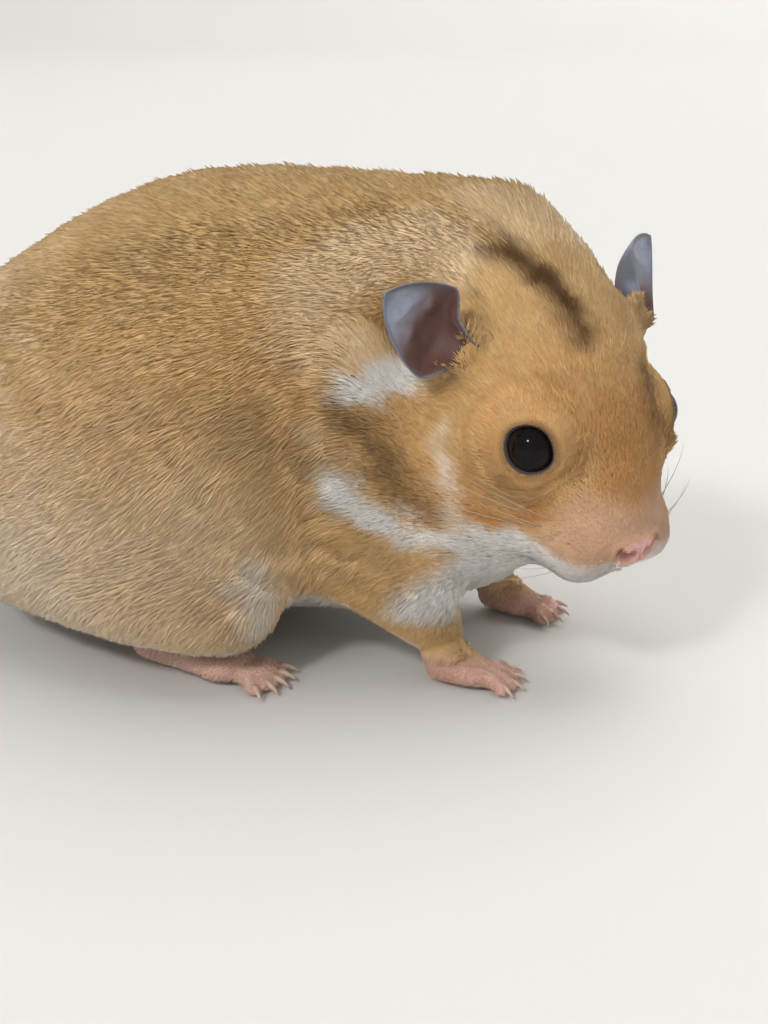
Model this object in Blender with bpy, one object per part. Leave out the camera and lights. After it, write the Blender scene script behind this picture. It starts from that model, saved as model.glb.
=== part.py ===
"""Syrian hamster, life size: crouching, with its head low and turned to its right.

The body is modelled whole, out to the tips of the coat, from chains of ellipsoids fused into one
skin. Thin cuts then part it into the pieces that a person would name, and the ears, eyes, nose,
tail and paws are set into sockets in it. All sizes are in millimetres until a piece is added to
the scene: +X is forwards, +Y is the animal's left, +Z is up, and the soles stand at 0.
"""

import math

import bmesh
import bpy
from mathutils import Matrix, Vector

MM = 0.001
GAP = 0.3  # clearance between neighbouring pieces
SOCKET_GAP = 0.45  # clearance round a piece with its own curved surface
PAW_GAP = 0.8  # clearance round a paw, whose socket is a simpler form than the paw itself
FLOOR = 0.0
SIDES = {"left": 1, "right": -1}

# ---------------------------------------------------------------- driving sizes

BODY_FRAME = Matrix.Identity(4)

# The head's own frame has +X along the muzzle, +Y to its left and +Z to the crown.
HEAD_PLACE = Vector((42.6, -1.1, 33.0))
HEAD_YAW = math.radians(-32)
HEAD_PITCH = math.radians(34)
HEAD_ROLL = math.radians(4)
HEAD_FRAME = (
    Matrix.Translation(HEAD_PLACE)
    @ Matrix.Rotation(HEAD_YAW, 4, "Z")
    @ Matrix.Rotation(HEAD_PITCH, 4, "Y")
    @ Matrix.Rotation(HEAD_ROLL, 4, "X")
)

EYE_PLACE = Vector((5.3, 9.8, 4.4))
EYE_RADIUS = 3.2

EAR_ROOT = Vector((-9.2, 15.8, 11.3))
EAR_TIP_WAYS = {"left": Vector((-8.5, 6.3, 0.4)), "right": Vector((-7.3, 7.6, 2.0))}
EAR_OPENING_WAY = Vector((0.42, 0.62, 0.62))
EAR_LENGTH = 8.8
EAR_HALF_WIDTH = 5.6
EAR_WALL = 0.9
EAR_BURIED = 0.5  # how far the root runs on into the head, as a share of the length
EAR_SOCKET_BURIED = 0.6
EAR_TAPER = 1.8  # the higher this is, the longer the ear keeps its width
EAR_ROUNDING = 0.75
EAR_TIP_HALF_WIDTH = 0.6
EAR_ROOT_NARROWING = 0.9  # how fast the buried root narrows
EAR_CUP_DEGREES = (78, 36)  # half of the arc across the ear, at its root and its tip
EAR_CUP_SHARE = 0.75
EAR_LEAN = 0.9
EAR_CURL = 1.6
EAR_ROWS = 9
EAR_COLUMNS = 8

NOSE_PLACE = Vector((19.0, 0.0, -3.4))
NOSE_RADII = Vector((1.7, 2.8, 2.1))

JAW_PLACE = Vector((7.0, 0.0, -13.5))
JAW_RADII = Vector((9.5, 5.5, 6.2))

TAIL_CHAIN = [
    ((-46.0, 0.0, 15.5), (3.0, 2.6, 2.6), 0),
    ((-50.0, 0.0, 14.9), (2.6, 1.9, 1.9), 0),
    ((-53.6, 0.0, 14.6), (2.2, 1.1, 1.1), 0),
]

BODY_VOXEL = 1.2
BODY_FACES = 2400
FINE_VOXEL = 0.5
TAIL_FACES = 160
FLOOR_BOX = (Vector((-90.0, -60.0, -9.0)), Vector((90.0, 60.0, FLOOR)))

# Rounds of smoothing, and where they act: behind a place along the head and above a height.
SMOOTH_TRUNK = (26, -14.0, 12.0)
SMOOTH_NECK = (14, 2.0, 9.0)
SMOOTH_HEAD = 6
SMOOTH_PAW = 2
PAW_VOXEL = 0.32
PAW_FACES = 340
PAW_TOOL_FACES = 80

SHARP_DEGREES = 50  # edges folded more than this are shown as creases

GOLDEN = (0.6, 0.38, 0.17)
DARK_GOLDEN = (0.5, 0.32, 0.14)
CREAM = (0.72, 0.62, 0.5)
PINK = (0.6, 0.33, 0.29)
EAR_GREY = (0.13, 0.12, 0.13)
EYE_BLACK = (0.006, 0.004, 0.004)
FUR_ROUGHNESS = 0.9
SKIN_ROUGHNESS = 0.7
NOSE_ROUGHNESS = 0.5
EYE_ROUGHNESS = 0.08

# Forms are chains of ellipsoids: each knot is a centre, half sizes and a nose-down tilt in degrees.
TRUNK_CHAIN = [
    ((-37.0, 0.0, 19.0), (14.5, 20.0, 16.0), 0),
    ((-24.0, 0.0, 26.4), (25.0, 29.0, 24.4), 0),
    ((-6.0, 0.0, 32.0), (26.0, 32.0, 30.0), 0),
    ((9.0, 0.0, 34.0), (21.0, 27.0, 29.5), 0),
    ((18.5, 2.5, 37.5), (17.0, 20.3, 26.0), 15),
    ((27.0, 5.5, 42.5), (14.0, 16.5, 21.5), 30),
]
CHEST_CHAIN = [
    ((14.0, 0.0, 24.0), (19.0, 21.0, 20.0), 0),
    ((26.0, -1.0, 21.0), (13.0, 15.0, 13.0), 0),
    ((33.0, -3.0, 21.5), (10.5, 12.5, 11.0), 0),
]
HAUNCH_CHAIN = [
    ((-22.0, 16.0, 23.5), (21.0, 13.5, 20.0), 0),
    ((-9.0, 19.0, 20.0), (19.0, 13.0, 17.5), 0),
    ((2.0, 20.0, 12.0), (11.0, 9.0, 9.5), 0),
]
ARM_CHAIN = [
    ((17.0, 11.5, 28.0), (13.0, 10.0, 16.0), 0),
    ((23.5, 12.0, 17.0), (7.8, 6.6, 9.5), 0),
    ((31.0, 12.0, 6.5), (3.7, 3.4, 4.0), 0),
]
HEAD_CHAIN = [
    ((-20.0, 0.5, -2.5), (12.0, 17.5, 19.0), 0),
    ((-13.0, 0.0, 0.0), (11.0, 17.0, 17.8), 0),
    ((-6.0, 0.0, 0.0), (12.0, 16.6, 15.8), 0),
    ((3.0, 0.0, -0.8), (10.5, 13.2, 13.2), 0),
    ((9.5, 0.0, -2.8), (8.2, 9.2, 9.2), 0),
    ((15.4, 0.0, -3.9), (4.8, 6.2, 5.6), 0),
]
CHEEK_CHAIN = [
    ((-16.0, 8.5, -6.0), (10.0, 12.0, 12.0), 0),
    ((-7.0, 8.8, -5.5), (11.0, 10.2, 10.8), 0),
    ((1.0, 7.4, -6.6), (10.0, 8.4, 9.0), 0),
    ((8.5, 5.0, -6.2), (7.5, 6.2, 6.6), 0),
]
BROW_CHAIN = [
    ((0.0, 8.2, 4.8), (7.0, 4.6, 5.4), 0),
    ((6.5, 6.6, 3.8), (5.0, 4.2, 4.8), 0),
]
WHISKER_PAD_CHAIN = [
    ((9.0, 5.2, -6.0), (6.8, 5.0, 5.0), 0),
    ((14.6, 5.0, -5.4), (5.6, 4.8, 4.8), 0),
]
CHIN_CHAIN = [
    ((1.0, 0.0, -8.5), (9.0, 9.0, 7.5), 0),
    ((11.5, 0.0, -9.4), (5.8, 5.2, 4.4), 0),
]

# Each piece of the body is what lies in one of these regions, less those named before it.
HEAD_BOX = (Vector((-15.5, -30.0, -15.5)), Vector((40.0, 30.0, 30.0)))
NECK_BOX = (Vector((-26.0, -23.0, -12.0)), Vector((-15.5, 23.0, 40.0)))
FORELEG_REGION = (Vector((27.0, 20.0, 15.0)), Vector((12.5, 12.5, 18.0)))
THIGH_REGION = (Vector((-12.0, 24.0, 18.0)), Vector((26.0, 16.0, 24.0)))
REGION_SEGMENTS = 16

# A paw's own frame has its heel at the origin, +X to the toes and the floor at 0. Each toe is a
# chain from its knuckle, which fans out by an angle from the middle of the paw.
HIND_FOOT_PLACE = Vector((-8.5, 19.0, 0.0))
HIND_FOOT_TOE_OUT = 7
HIND_SOLE_CHAIN = [
    ((2.5, 0.0, 2.4), (3.8, 2.3, 2.7), 0),
    ((8.0, 0.0, 2.3), (5.0, 2.9, 2.5), 0),
    ((13.2, 0.0, 1.9), (4.0, 3.9, 2.1), 0),
]
HIND_KNUCKLES = Vector((14.6, 0.0, 0.0))
HIND_TOE_FAN = (-34, -16, 0, 16, 34)
HIND_TOE_REACH = 1.0

FOREPAW_PLACE = Vector((31.5, 12.2, 0.0))
FOREPAW_TOE_OUT = -6
FOREPAW_SOLE_CHAIN = [
    ((0.4, 0.0, 2.9), (2.8, 2.3, 3.1), 0),
    ((4.0, 0.0, 1.8), (3.4, 2.9, 1.9), 0),
]
FOREPAW_KNUCKLES = Vector((4.6, 0.0, 0.0))
FOREPAW_TOE_FAN = (-36, -12, 12, 36)
FOREPAW_TOE_REACH = 0.8

TOE_CHAIN = [
    ((1.6, 0.0, 1.35), (1.5, 1.05, 1.3), 0),
    ((4.0, 0.0, 1.6), (1.5, 0.95, 1.15), 0),
    ((6.0, 0.0, 0.85), (1.2, 0.9, 1.0), 0),
]
CLAW_CHAIN = [
    ((7.0, 0.0, 1.1), (0.9, 0.5, 0.6), 0),
    ((8.3, 0.0, 0.7), (0.7, 0.42, 0.45), 0),
]


# ---------------------------------------------------------------- modelling helpers


def clear_scene():
    for obj in list(bpy.data.objects):
        bpy.data.objects.remove(obj)


def mirrored(point, side):
    return Vector((point[0], point[1] * side, point[2]))


def catmull_rom(before, start, end, after, t):
    return 0.5 * (
        2 * start
        + (end - before) * t
        + (2 * before - 5 * start + 4 * end - after) * t**2
        + (3 * start - before - 3 * end + after) * t**3
    )


class Forms:
    """Overlapping ellipsoids, gathered as one mesh."""

    def __init__(self, segments=32):
        ball = bmesh.new()
        bmesh.ops.create_uvsphere(ball, u_segments=segments, v_segments=segments // 2, radius=1.0)
        self.ball = [v.co.copy() for v in ball.verts]
        self.ball_faces = [[v.index for v in face.verts] for face in ball.faces]
        ball.free()
        self.points = []
        self.faces = []

    def ellipsoid(self, frame, centre, radii, tilt=0.0):
        matrix = (
            frame
            @ Matrix.Translation(centre)
            @ Matrix.Rotation(math.radians(tilt), 4, "Y")
            @ Matrix.Diagonal((*radii, 1.0))
        )
        first = len(self.points)
        self.points += [matrix @ point for point in self.ball]
        self.faces += [[first + i for i in face] for face in self.ball_faces]

    def chain(self, frame, knots, side=1, grow=0.0, between=7):
        """Ellipsoids along a smooth path through the knots, close enough to read as one form."""
        rows = [Vector((*centre, *radii, tilt)) for centre, radii, tilt in knots]
        ends = [2 * rows[0] - rows[1], *rows, 2 * rows[-1] - rows[-2]]
        for i in range(len(rows) - 1):
            last = 1 if i == len(rows) - 2 else 0
            for step in range(between + last):
                row = catmull_rom(*ends[i : i + 4], step / between)
                radii = [half + grow for half in row[3:6]]
                self.ellipsoid(frame, mirrored(row[:3], side), radii, row[6])

    def mesh(self, name):
        mesh = bpy.data.meshes.new(name)
        mesh.from_pydata(self.points, [], self.faces)
        return mesh


def through_modifiers(mesh, *changes):
    """The mesh as a stack of modifiers leaves it; each change is a kind and its settings."""
    obj = bpy.data.objects.new(mesh.name, mesh)
    bpy.context.scene.collection.objects.link(obj)
    tools = []
    for kind, settings in changes:
        settings = dict(settings)
        if kind == "BOOLEAN":
            tool = bpy.data.objects.new("tool", settings.pop("mesh"))
            bpy.context.scene.collection.objects.link(tool)
            tools.append(tool)
            settings["object"] = tool
        modifier = obj.modifiers.new(kind.title(), kind)
        for name, value in settings.items():
            setattr(modifier, name, value)
    graph = bpy.context.evaluated_depsgraph_get()
    result = bpy.data.meshes.new_from_object(obj.evaluated_get(graph))
    for used in (obj, *tools):
        bpy.data.objects.remove(used)
    return result


def fused(forms, name, voxel):
    """One closed skin round all the forms."""
    return through_modifiers(forms.mesh(name), ("REMESH", {"mode": "VOXEL", "voxel_size": voxel}))


def reduced(mesh, faces):
    """The mesh with about this many triangles, fewest where it is flattest."""
    ratio = faces / (2 * len(mesh.polygons))
    return through_modifiers(mesh, ("DECIMATE", {"ratio": ratio, "use_collapse_triangulate": True}))


def less(region):
    return ("BOOLEAN", {"operation": "DIFFERENCE", "mesh": region})


def within(region):
    return ("BOOLEAN", {"operation": "INTERSECT", "mesh": region})


def smoothed(mesh, rounds, chosen=lambda point: True):
    """The mesh with its chosen points relaxed towards their neighbours."""
    bm = bmesh.new()
    bm.from_mesh(mesh)
    verts = [v for v in bm.verts if chosen(v.co)]
    for _ in range(rounds):
        bmesh.ops.smooth_vert(
            bm, verts=verts, factor=0.5, use_axis_x=True, use_axis_y=True, use_axis_z=True
        )
    bm.to_mesh(mesh)
    bm.free()
    return mesh


def islands(bm):
    """The separate bodies of a mesh, as sets of points."""
    left = set(bm.verts)
    while left:
        front = [left.pop()]
        island = set(front)
        while front:
            for edge in front.pop().link_edges:
                for v in edge.verts:
                    if v in left:
                        left.discard(v)
                        island.add(v)
                        front.append(v)
        yield island


def main_body(mesh):
    """The mesh without the slivers that a cut leaves beside its main body."""
    bm = bmesh.new()
    bm.from_mesh(mesh)
    parts = sorted(islands(bm), key=len)
    for sliver in parts[:-1]:
        bmesh.ops.delete(bm, geom=list(sliver), context="VERTS")
    bm.to_mesh(mesh)
    bm.free()
    return mesh


def box(frame, low, high):
    middle = (low + high) / 2
    size = high - low
    bm = bmesh.new()
    bmesh.ops.create_cube(
        bm, size=1.0, matrix=frame @ Matrix.Translation(middle) @ Matrix.Diagonal((*size, 1.0))
    )
    mesh = bpy.data.meshes.new("box")
    bm.to_mesh(mesh)
    bm.free()
    return mesh


def ball(frame, centre, radii, segments=REGION_SEGMENTS):
    forms = Forms(segments)
    forms.ellipsoid(frame, centre, radii)
    return forms.mesh("ball")


def material(name, colour, roughness):
    made = bpy.data.materials.new(name)
    made.use_nodes = True
    shader = made.node_tree.nodes["Principled BSDF"]
    shader.inputs["Base Color"].default_value = (*colour, 1.0)
    shader.inputs["Roughness"].default_value = roughness
    shader.inputs["Metallic"].default_value = 0.0
    return made


def add_piece(name, mesh, colour, roughness):
    """Add one finished piece, turned from millimetres to metres, with its own material."""
    mesh.name = name
    mesh.transform(Matrix.Scale(MM, 4))
    mesh.shade_smooth()
    mesh.set_sharp_from_angle(angle=math.radians(SHARP_DEGREES))
    mesh.materials.clear()
    mesh.materials.append(material(name, colour, roughness))
    obj = bpy.data.objects.new(name, mesh)
    bpy.context.scene.collection.objects.link(obj)
    return obj


# ---------------------------------------------------------------- the whole body


def body_mesh():
    forms = Forms()
    forms.chain(BODY_FRAME, TRUNK_CHAIN)
    forms.chain(BODY_FRAME, CHEST_CHAIN)
    forms.chain(HEAD_FRAME, HEAD_CHAIN)
    forms.chain(HEAD_FRAME, CHIN_CHAIN)
    for side in SIDES.values():
        forms.chain(BODY_FRAME, HAUNCH_CHAIN, side)
        forms.chain(BODY_FRAME, ARM_CHAIN, side)
        forms.chain(HEAD_FRAME, CHEEK_CHAIN, side)
        forms.chain(HEAD_FRAME, BROW_CHAIN, side)
        forms.chain(HEAD_FRAME, WHISKER_PAD_CHAIN, side)
    mesh = fused(forms, "body", BODY_VOXEL)
    to_head = HEAD_FRAME.inverted()
    for rounds, along_head, height in (SMOOTH_TRUNK, SMOOTH_NECK):
        smoothed(mesh, rounds, lambda p: (to_head @ p).x < along_head and p.z > height)
    smoothed(mesh, SMOOTH_HEAD)
    return reduced(mesh, BODY_FACES)


# ---------------------------------------------------------------- ears, eyes, nose, tail and paws


def ear_point(side_name, along, across):
    """A point of the ear's middle surface, from its root (0) to its tip (1), edge to edge (-1..1).

    The ear is a cup, deepest at the root, whose tip curls a little over the opening.
    """
    side = SIDES[side_name]
    length_way = mirrored(EAR_TIP_WAYS[side_name], side).normalized()
    opening = mirrored(EAR_OPENING_WAY, side)
    opening = (opening - opening.dot(length_way) * length_way).normalized()
    edge_way = length_way.cross(opening) * side
    reach = max(along, 0.0)
    half = EAR_HALF_WIDTH * max(1.0 - reach**EAR_TAPER, 0.0) ** EAR_ROUNDING
    half = max(half, EAR_TIP_HALF_WIDTH) * (1.0 - EAR_ROOT_NARROWING * max(-along, 0.0))
    at_root, at_tip = EAR_CUP_DEGREES
    cup = math.radians(at_root + (at_tip - at_root) * reach)
    angle = across * cup
    sideways = half * math.sin(angle) / math.sin(cup) + EAR_LEAN * (1.0 - reach)
    depth = half * (math.cos(angle) - math.cos(cup)) / math.sin(cup)
    curl = EAR_CURL * reach**2
    return (
        mirrored(EAR_ROOT, side)
        + length_way * EAR_LENGTH * along
        + edge_way * sideways
        + opening * (curl - EAR_CUP_SHARE * depth)
    )


def ear_mesh(side_name, wall, buried):
    bm = bmesh.new()
    grid = []
    for row in range(EAR_ROWS):
        along = -buried + (1.0 + buried) * row / (EAR_ROWS - 1)
        points = [
            HEAD_FRAME @ ear_point(side_name, along, 2.0 * column / (EAR_COLUMNS - 1) - 1.0)
            for column in range(EAR_COLUMNS)
        ]
        grid.append([bm.verts.new(point) for point in points])
    for lower, upper in zip(grid, grid[1:]):
        for column in range(EAR_COLUMNS - 1):
            bm.faces.new((lower[column], lower[column + 1], upper[column + 1], upper[column]))
    mesh = bpy.data.meshes.new("ear")
    bm.to_mesh(mesh)
    bm.free()
    shell = through_modifiers(mesh, ("SOLIDIFY", {"thickness": wall, "offset": 0.0}))
    return outward(shell)


def outward(mesh):
    bm = bmesh.new()
    bm.from_mesh(mesh)
    bmesh.ops.recalc_face_normals(bm, faces=bm.faces)
    bm.to_mesh(mesh)
    bm.free()
    return mesh


def eye_mesh(side, grow=0.0):
    return ball(HEAD_FRAME, mirrored(EYE_PLACE, side), (EYE_RADIUS + grow,) * 3)


def nose_mesh(grow=0.0):
    return ball(HEAD_FRAME, NOSE_PLACE, [half + grow for half in NOSE_RADII], 14)


def tail_mesh(grow=0.0):
    forms = Forms(20)
    forms.chain(BODY_FRAME, TAIL_CHAIN, grow=grow, between=4)
    return reduced(fused(forms, "tail", FINE_VOXEL), TAIL_FACES)


def paw_mesh(name, frame, shape, faces, grow=0.0):
    """A paw with its toes and claws in one, cut flat where it stands on the floor."""
    sole, knuckles, fan, reach = shape
    forms = Forms(16)
    forms.chain(frame, sole, grow=grow)
    for angle in fan:
        turn = Matrix.Rotation(math.radians(angle), 4, "Z")
        toe_frame = frame @ Matrix.Translation(knuckles) @ turn @ Matrix.Scale(reach, 4, (1, 0, 0))
        forms.chain(toe_frame, TOE_CHAIN, grow=grow, between=4)
        forms.chain(toe_frame, CLAW_CHAIN, grow=grow, between=3)
    mesh = reduced(smoothed(fused(forms, name, PAW_VOXEL), SMOOTH_PAW), faces)
    below = box(BODY_FRAME, *FLOOR_BOX)
    return main_body(through_modifiers(mesh, less(below)) if grow == 0.0 else mesh)


def paw_frame(place, toe_out, side):
    return Matrix.Translation(mirrored(place, side)) @ Matrix.Rotation(
        math.radians(toe_out * side), 4, "Z"
    )


def hind_foot_mesh(side, faces=PAW_FACES, grow=0.0):
    frame = paw_frame(HIND_FOOT_PLACE, HIND_FOOT_TOE_OUT, side)
    shape = (HIND_SOLE_CHAIN, HIND_KNUCKLES, HIND_TOE_FAN, HIND_TOE_REACH)
    return paw_mesh("hind_foot", frame, shape, faces, grow)


def forepaw_mesh(side, faces=PAW_FACES, grow=0.0):
    frame = paw_frame(FOREPAW_PLACE, FOREPAW_TOE_OUT, side)
    shape = (FOREPAW_SOLE_CHAIN, FOREPAW_KNUCKLES, FOREPAW_TOE_FAN, FOREPAW_TOE_REACH)
    return paw_mesh("forepaw", frame, shape, faces, grow)


# ---------------------------------------------------------------- parting the body


def head_region(grow=0.0):
    margin = Vector((grow,) * 3)
    return box(HEAD_FRAME, HEAD_BOX[0] - margin, HEAD_BOX[1] + margin)


def neck_region(grow=0.0):
    margin = Vector((grow,) * 3)
    return box(HEAD_FRAME, NECK_BOX[0] - margin, NECK_BOX[1] + margin)


def leg_region(region, side, grow=0.0):
    centre, radii = region
    return ball(BODY_FRAME, mirrored(centre, side), [half + grow for half in radii])


def jaw_region(grow=0.0):
    return ball(HEAD_FRAME, JAW_PLACE, [half + grow for half in JAW_RADII], 14)


def parted(body, *changes):
    return main_body(through_modifiers(body.copy(), *changes))


def build():
    body = body_mesh()
    paw_sockets = []
    for side in SIDES.values():
        paw_sockets.append(less(hind_foot_mesh(side, PAW_TOOL_FACES, PAW_GAP)))
        paw_sockets.append(less(forepaw_mesh(side, PAW_TOOL_FACES, PAW_GAP)))

    head_sockets = [less(nose_mesh(SOCKET_GAP))]
    for name, side in SIDES.items():
        head_sockets.append(less(eye_mesh(side, SOCKET_GAP)))
        head_sockets.append(less(ear_mesh(name, EAR_WALL + 2 * SOCKET_GAP, EAR_SOCKET_BURIED)))
    head = parted(body, within(head_region()), less(jaw_region(GAP)), *head_sockets)
    jaw = parted(body, within(head_region()), within(jaw_region()))
    neck = parted(body, within(neck_region()), less(head_region(GAP)))
    add_piece("head", head, GOLDEN, FUR_ROUGHNESS)
    add_piece("lower_jaw", jaw, CREAM, FUR_ROUGHNESS)
    add_piece("neck", neck, GOLDEN, FUR_ROUGHNESS)
    add_piece("nose", nose_mesh(), PINK, NOSE_ROUGHNESS)

    trunk_cuts = [less(head_region(GAP)), less(neck_region(GAP)), less(tail_mesh(SOCKET_GAP))]
    for name, side in SIDES.items():
        above = [less(head_region(GAP)), less(neck_region(GAP))]
        foreleg = parted(body, within(leg_region(FORELEG_REGION, side)), *above, *paw_sockets)
        thigh = parted(body, within(leg_region(THIGH_REGION, side)), *above, *paw_sockets)
        add_piece(f"foreleg_{name}", foreleg, GOLDEN, FUR_ROUGHNESS)
        add_piece(f"thigh_{name}", thigh, GOLDEN, FUR_ROUGHNESS)
        trunk_cuts.append(less(leg_region(FORELEG_REGION, side, GAP)))
        trunk_cuts.append(less(leg_region(THIGH_REGION, side, GAP)))
        add_piece(f"ear_{name}", ear_mesh(name, EAR_WALL, EAR_BURIED), EAR_GREY, SKIN_ROUGHNESS)
        add_piece(f"eye_{name}", eye_mesh(side), EYE_BLACK, EYE_ROUGHNESS)
        add_piece(f"hind_foot_{name}", hind_foot_mesh(side), PINK, SKIN_ROUGHNESS)
        add_piece(f"forepaw_{name}", forepaw_mesh(side), PINK, SKIN_ROUGHNESS)
    add_piece("trunk", parted(body, *trunk_cuts, *paw_sockets), DARK_GOLDEN, FUR_ROUGHNESS)
    add_piece("tail", tail_mesh(), PINK, SKIN_ROUGHNESS)


def centre_on_floor():
    """Stand every piece so that the origin is the bottom centre of the whole animal."""
    pieces = list(bpy.data.objects)
    corners = [v.co for piece in pieces for v in piece.data.vertices]
    middle = Vector([(min(c[i] for c in corners) + max(c[i] for c in corners)) / 2 for i in range(2)])
    stand = bpy.data.objects.new("hamster", None)
    bpy.context.scene.collection.objects.link(stand)
    stand.location = (-middle.x, -middle.y, -min(c.z for c in corners))
    for piece in pieces:
        piece.parent = stand


def main():
    clear_scene()
    build()
    centre_on_floor()


if __name__ == "__main__":
    main()
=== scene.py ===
"""Dresses the Syrian hamster: one skin, a coat of solid tufts, eyes, ears, claws and whiskers.

Lengths are in millimetres until a mesh is made. Points are given in the animal's own frame (+X
forwards, +Y its left, +Z up, soles at 0) or in the head's frame, whose +X runs along the muzzle and
+Z to the crown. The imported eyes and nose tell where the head's frame stands, and that gives the
rest. Arrays of points are n x 3.
"""

import math

import bmesh
import bpy
import numpy as np
from mathutils import Matrix, Vector, bvhtree, kdtree


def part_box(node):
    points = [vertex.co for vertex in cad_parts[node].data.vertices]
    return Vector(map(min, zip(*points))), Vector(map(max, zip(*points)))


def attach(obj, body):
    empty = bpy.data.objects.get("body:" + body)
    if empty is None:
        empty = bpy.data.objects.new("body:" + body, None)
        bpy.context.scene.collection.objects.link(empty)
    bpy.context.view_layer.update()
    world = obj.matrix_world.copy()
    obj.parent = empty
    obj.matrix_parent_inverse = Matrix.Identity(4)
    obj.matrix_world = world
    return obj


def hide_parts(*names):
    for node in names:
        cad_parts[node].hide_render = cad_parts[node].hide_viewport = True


bl_info = {
    "name": "Syrian hamster",
    "version": (1, 0, 0),
    "blender": (4, 5, 0),
    "location": "View3D > Sidebar > Hamster",
    "description": "Makes the skin, coat, eyes, ears, claws and whiskers of a crouching hamster",
    "category": "Object",
}

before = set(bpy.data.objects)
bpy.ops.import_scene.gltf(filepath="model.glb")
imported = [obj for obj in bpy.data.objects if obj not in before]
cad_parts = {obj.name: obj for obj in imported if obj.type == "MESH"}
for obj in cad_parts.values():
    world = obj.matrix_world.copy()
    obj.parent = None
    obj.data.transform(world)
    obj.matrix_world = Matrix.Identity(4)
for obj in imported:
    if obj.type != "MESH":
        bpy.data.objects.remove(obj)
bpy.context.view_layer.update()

MM = 0.001
MERGE_METRES = 1e-7
SIDES = {"left": 1.0, "right": -1.0}
BODY_NODES = ["trunk", "neck", "head", "lower_jaw", "nose", "tail"] + [
    f"{part}_{side}" for part in ("thigh", "foreleg") for side in SIDES
]
PAW_NODES = [f"{part}_{side}" for part in ("hind_foot", "forepaw") for side in SIDES]

# ---------------------------------------------------------------- sizes of the animal

HEAD_PLACE = np.array([42.6, -1.1, 33.0])  # the head's origin in the animal's frame
EYE_PLACE = np.array([5.3, 9.8, 4.4])
EYE_WAY = np.array([0.36, 0.84, 0.40])
EYE_RADIUS = 3.2
LID_RADIUS = 2.75
LID_CORNER = 0.2  # how far the opening is drawn out at its two corners
NOSE_PLACE = np.array([19.0, 0.0, -3.4])

EAR_ROOT = np.array([-9.2, 15.8, 11.3])
EAR_TIP_WAYS = {"left": np.array([-8.5, 6.3, 0.4]), "right": np.array([-7.3, 7.6, 2.0])}
EAR_OPENING_WAY = np.array([0.42, 0.62, 0.62])
EAR_LENGTH = 8.8
EAR_HALF_WIDTH = 5.6
EAR_TAPER = 1.8  # the higher this is, the longer the ear keeps its width
EAR_ROUNDING = 0.75
EAR_TIP_HALF_WIDTH = 0.3
EAR_ROOT_WIDTH = 0.4  # at the deep end of the root, as a share of the width above it
EAR_ROOT_SPAN = (-0.42, 0.08)
EAR_NOTCH = 0.5  # how much one edge is cut back at the root
EAR_NOTCH_SPAN = (0.18, -0.1)
EAR_CUP_DEGREES = (78, 36)  # half of the arc across the ear, at its root and its tip
EAR_CUP_SHARE = 0.75
EAR_LEAN = 0.9
EAR_CURL = 1.6
EAR_WALL = 0.5
EAR_RIM = 0.35  # how far the edge rounds out past the wall, as a share of its thickness
EAR_BURIED = 0.5  # how far the root runs on into the head, as a share of the length
EAR_END = 0.997  # just short of the tip, so that the last row isn't a point
EAR_ROWS = 44
EAR_COLUMNS = 34

HIND_FOOT = {
    "place": (-8.5, 19.0, 0.0),
    "toe_out": 7,
    "sole": [(2.5, 0, 2.4, 3.8, 2.3, 2.7), (8, 0, 2.3, 5, 2.9, 2.5), (13.2, 0, 1.9, 4, 3.9, 2.1)],
    "knuckles": (14.6, 0.0, 0.0),
    "fan": (-34, -16, 0, 16, 34),
    "reach": 1.0,
    "joint": (-6.6, 18.8, 5.0, 4.0, 2.6, 4.2),
}
FOREPAW = {
    "place": (31.5, 12.2, 0.0),
    "toe_out": -6,
    "sole": [(0.4, 0, 2.9, 2.8, 2.3, 3.1), (4, 0, 1.8, 3.4, 2.9, 1.9)],
    "knuckles": (4.6, 0.0, 0.0),
    "fan": (-36, -12, 12, 36),
    "reach": 0.8,
    "joint": (31.2, 12.1, 5.4, 2.9, 2.5, 3.2),
}
TOE = [(1.6, 0, 1.35, 1.5, 1.05, 1.3), (4, 0, 1.6, 1.5, 0.95, 1.15), (6, 0, 0.85, 1.2, 0.9, 1.0)]
CLAW_ROOT = (6.6, 0.0, 1.35)
TAIL_HEIGHT = 14.6

BODY_VOXEL = 0.6
SKIN_VOXEL = 0.42
SKIN_FACES = 194000  # what the skin is thinned to, away from the eyes and nose
SWELL = 0.26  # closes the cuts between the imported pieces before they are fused

# How deep the coat is: the same all over a packed form, or by height (depth low down and high up,
# then the two heights), or on head and neck by place along the head.
EVEN_DEPTHS = {"lower_jaw": 1.1, "nose": 0.15, "tail": 0.35}
DEPTHS_BY_HEIGHT = {
    "trunk": (1.35, 3.0, 6, 20),
    "thigh": (0.7, 4.2, 4, 17),
    "foreleg": (0.4, 3.4, 6, 20),
}
HEAD_DEPTHS = (
    (-20.0, -14.0, -8.0, 0.0, 6.0, 12.0, 16.0, 19.0),
    (3.0, 2.6, 2.1, 1.5, 1.1, 0.8, 0.45, 0.25),
)

# ---------------------------------------------------------------- sums on arrays


def unit(vectors):
    length = np.linalg.norm(vectors, axis=-1, keepdims=True)
    return vectors / np.maximum(length, 1e-9)


def dot(a, b):
    return (a * b).sum(axis=-1)


def ease(value, low, high):
    """0 at low, 1 at high and smooth between them; high may be the smaller of the two."""
    t = np.clip((np.asarray(value, float) - low) / (high - low), 0.0, 1.0)
    return t * t * (3.0 - 2.0 * t)


def blend(a, b, share):
    share = np.asarray(share, float)
    if np.ndim(a) == 2 or np.ndim(b) == 2:
        share = share[:, None]
    return a * (1.0 - share) + b * share


def rising(least, share):
    """From least, where the share is 0, to 1, where it is 1."""
    return least + (1.0 - least) * share


def bell(off, width):
    """1 at no distance and falling away over the width."""
    return np.exp(-((off / width) ** 2))


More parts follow.
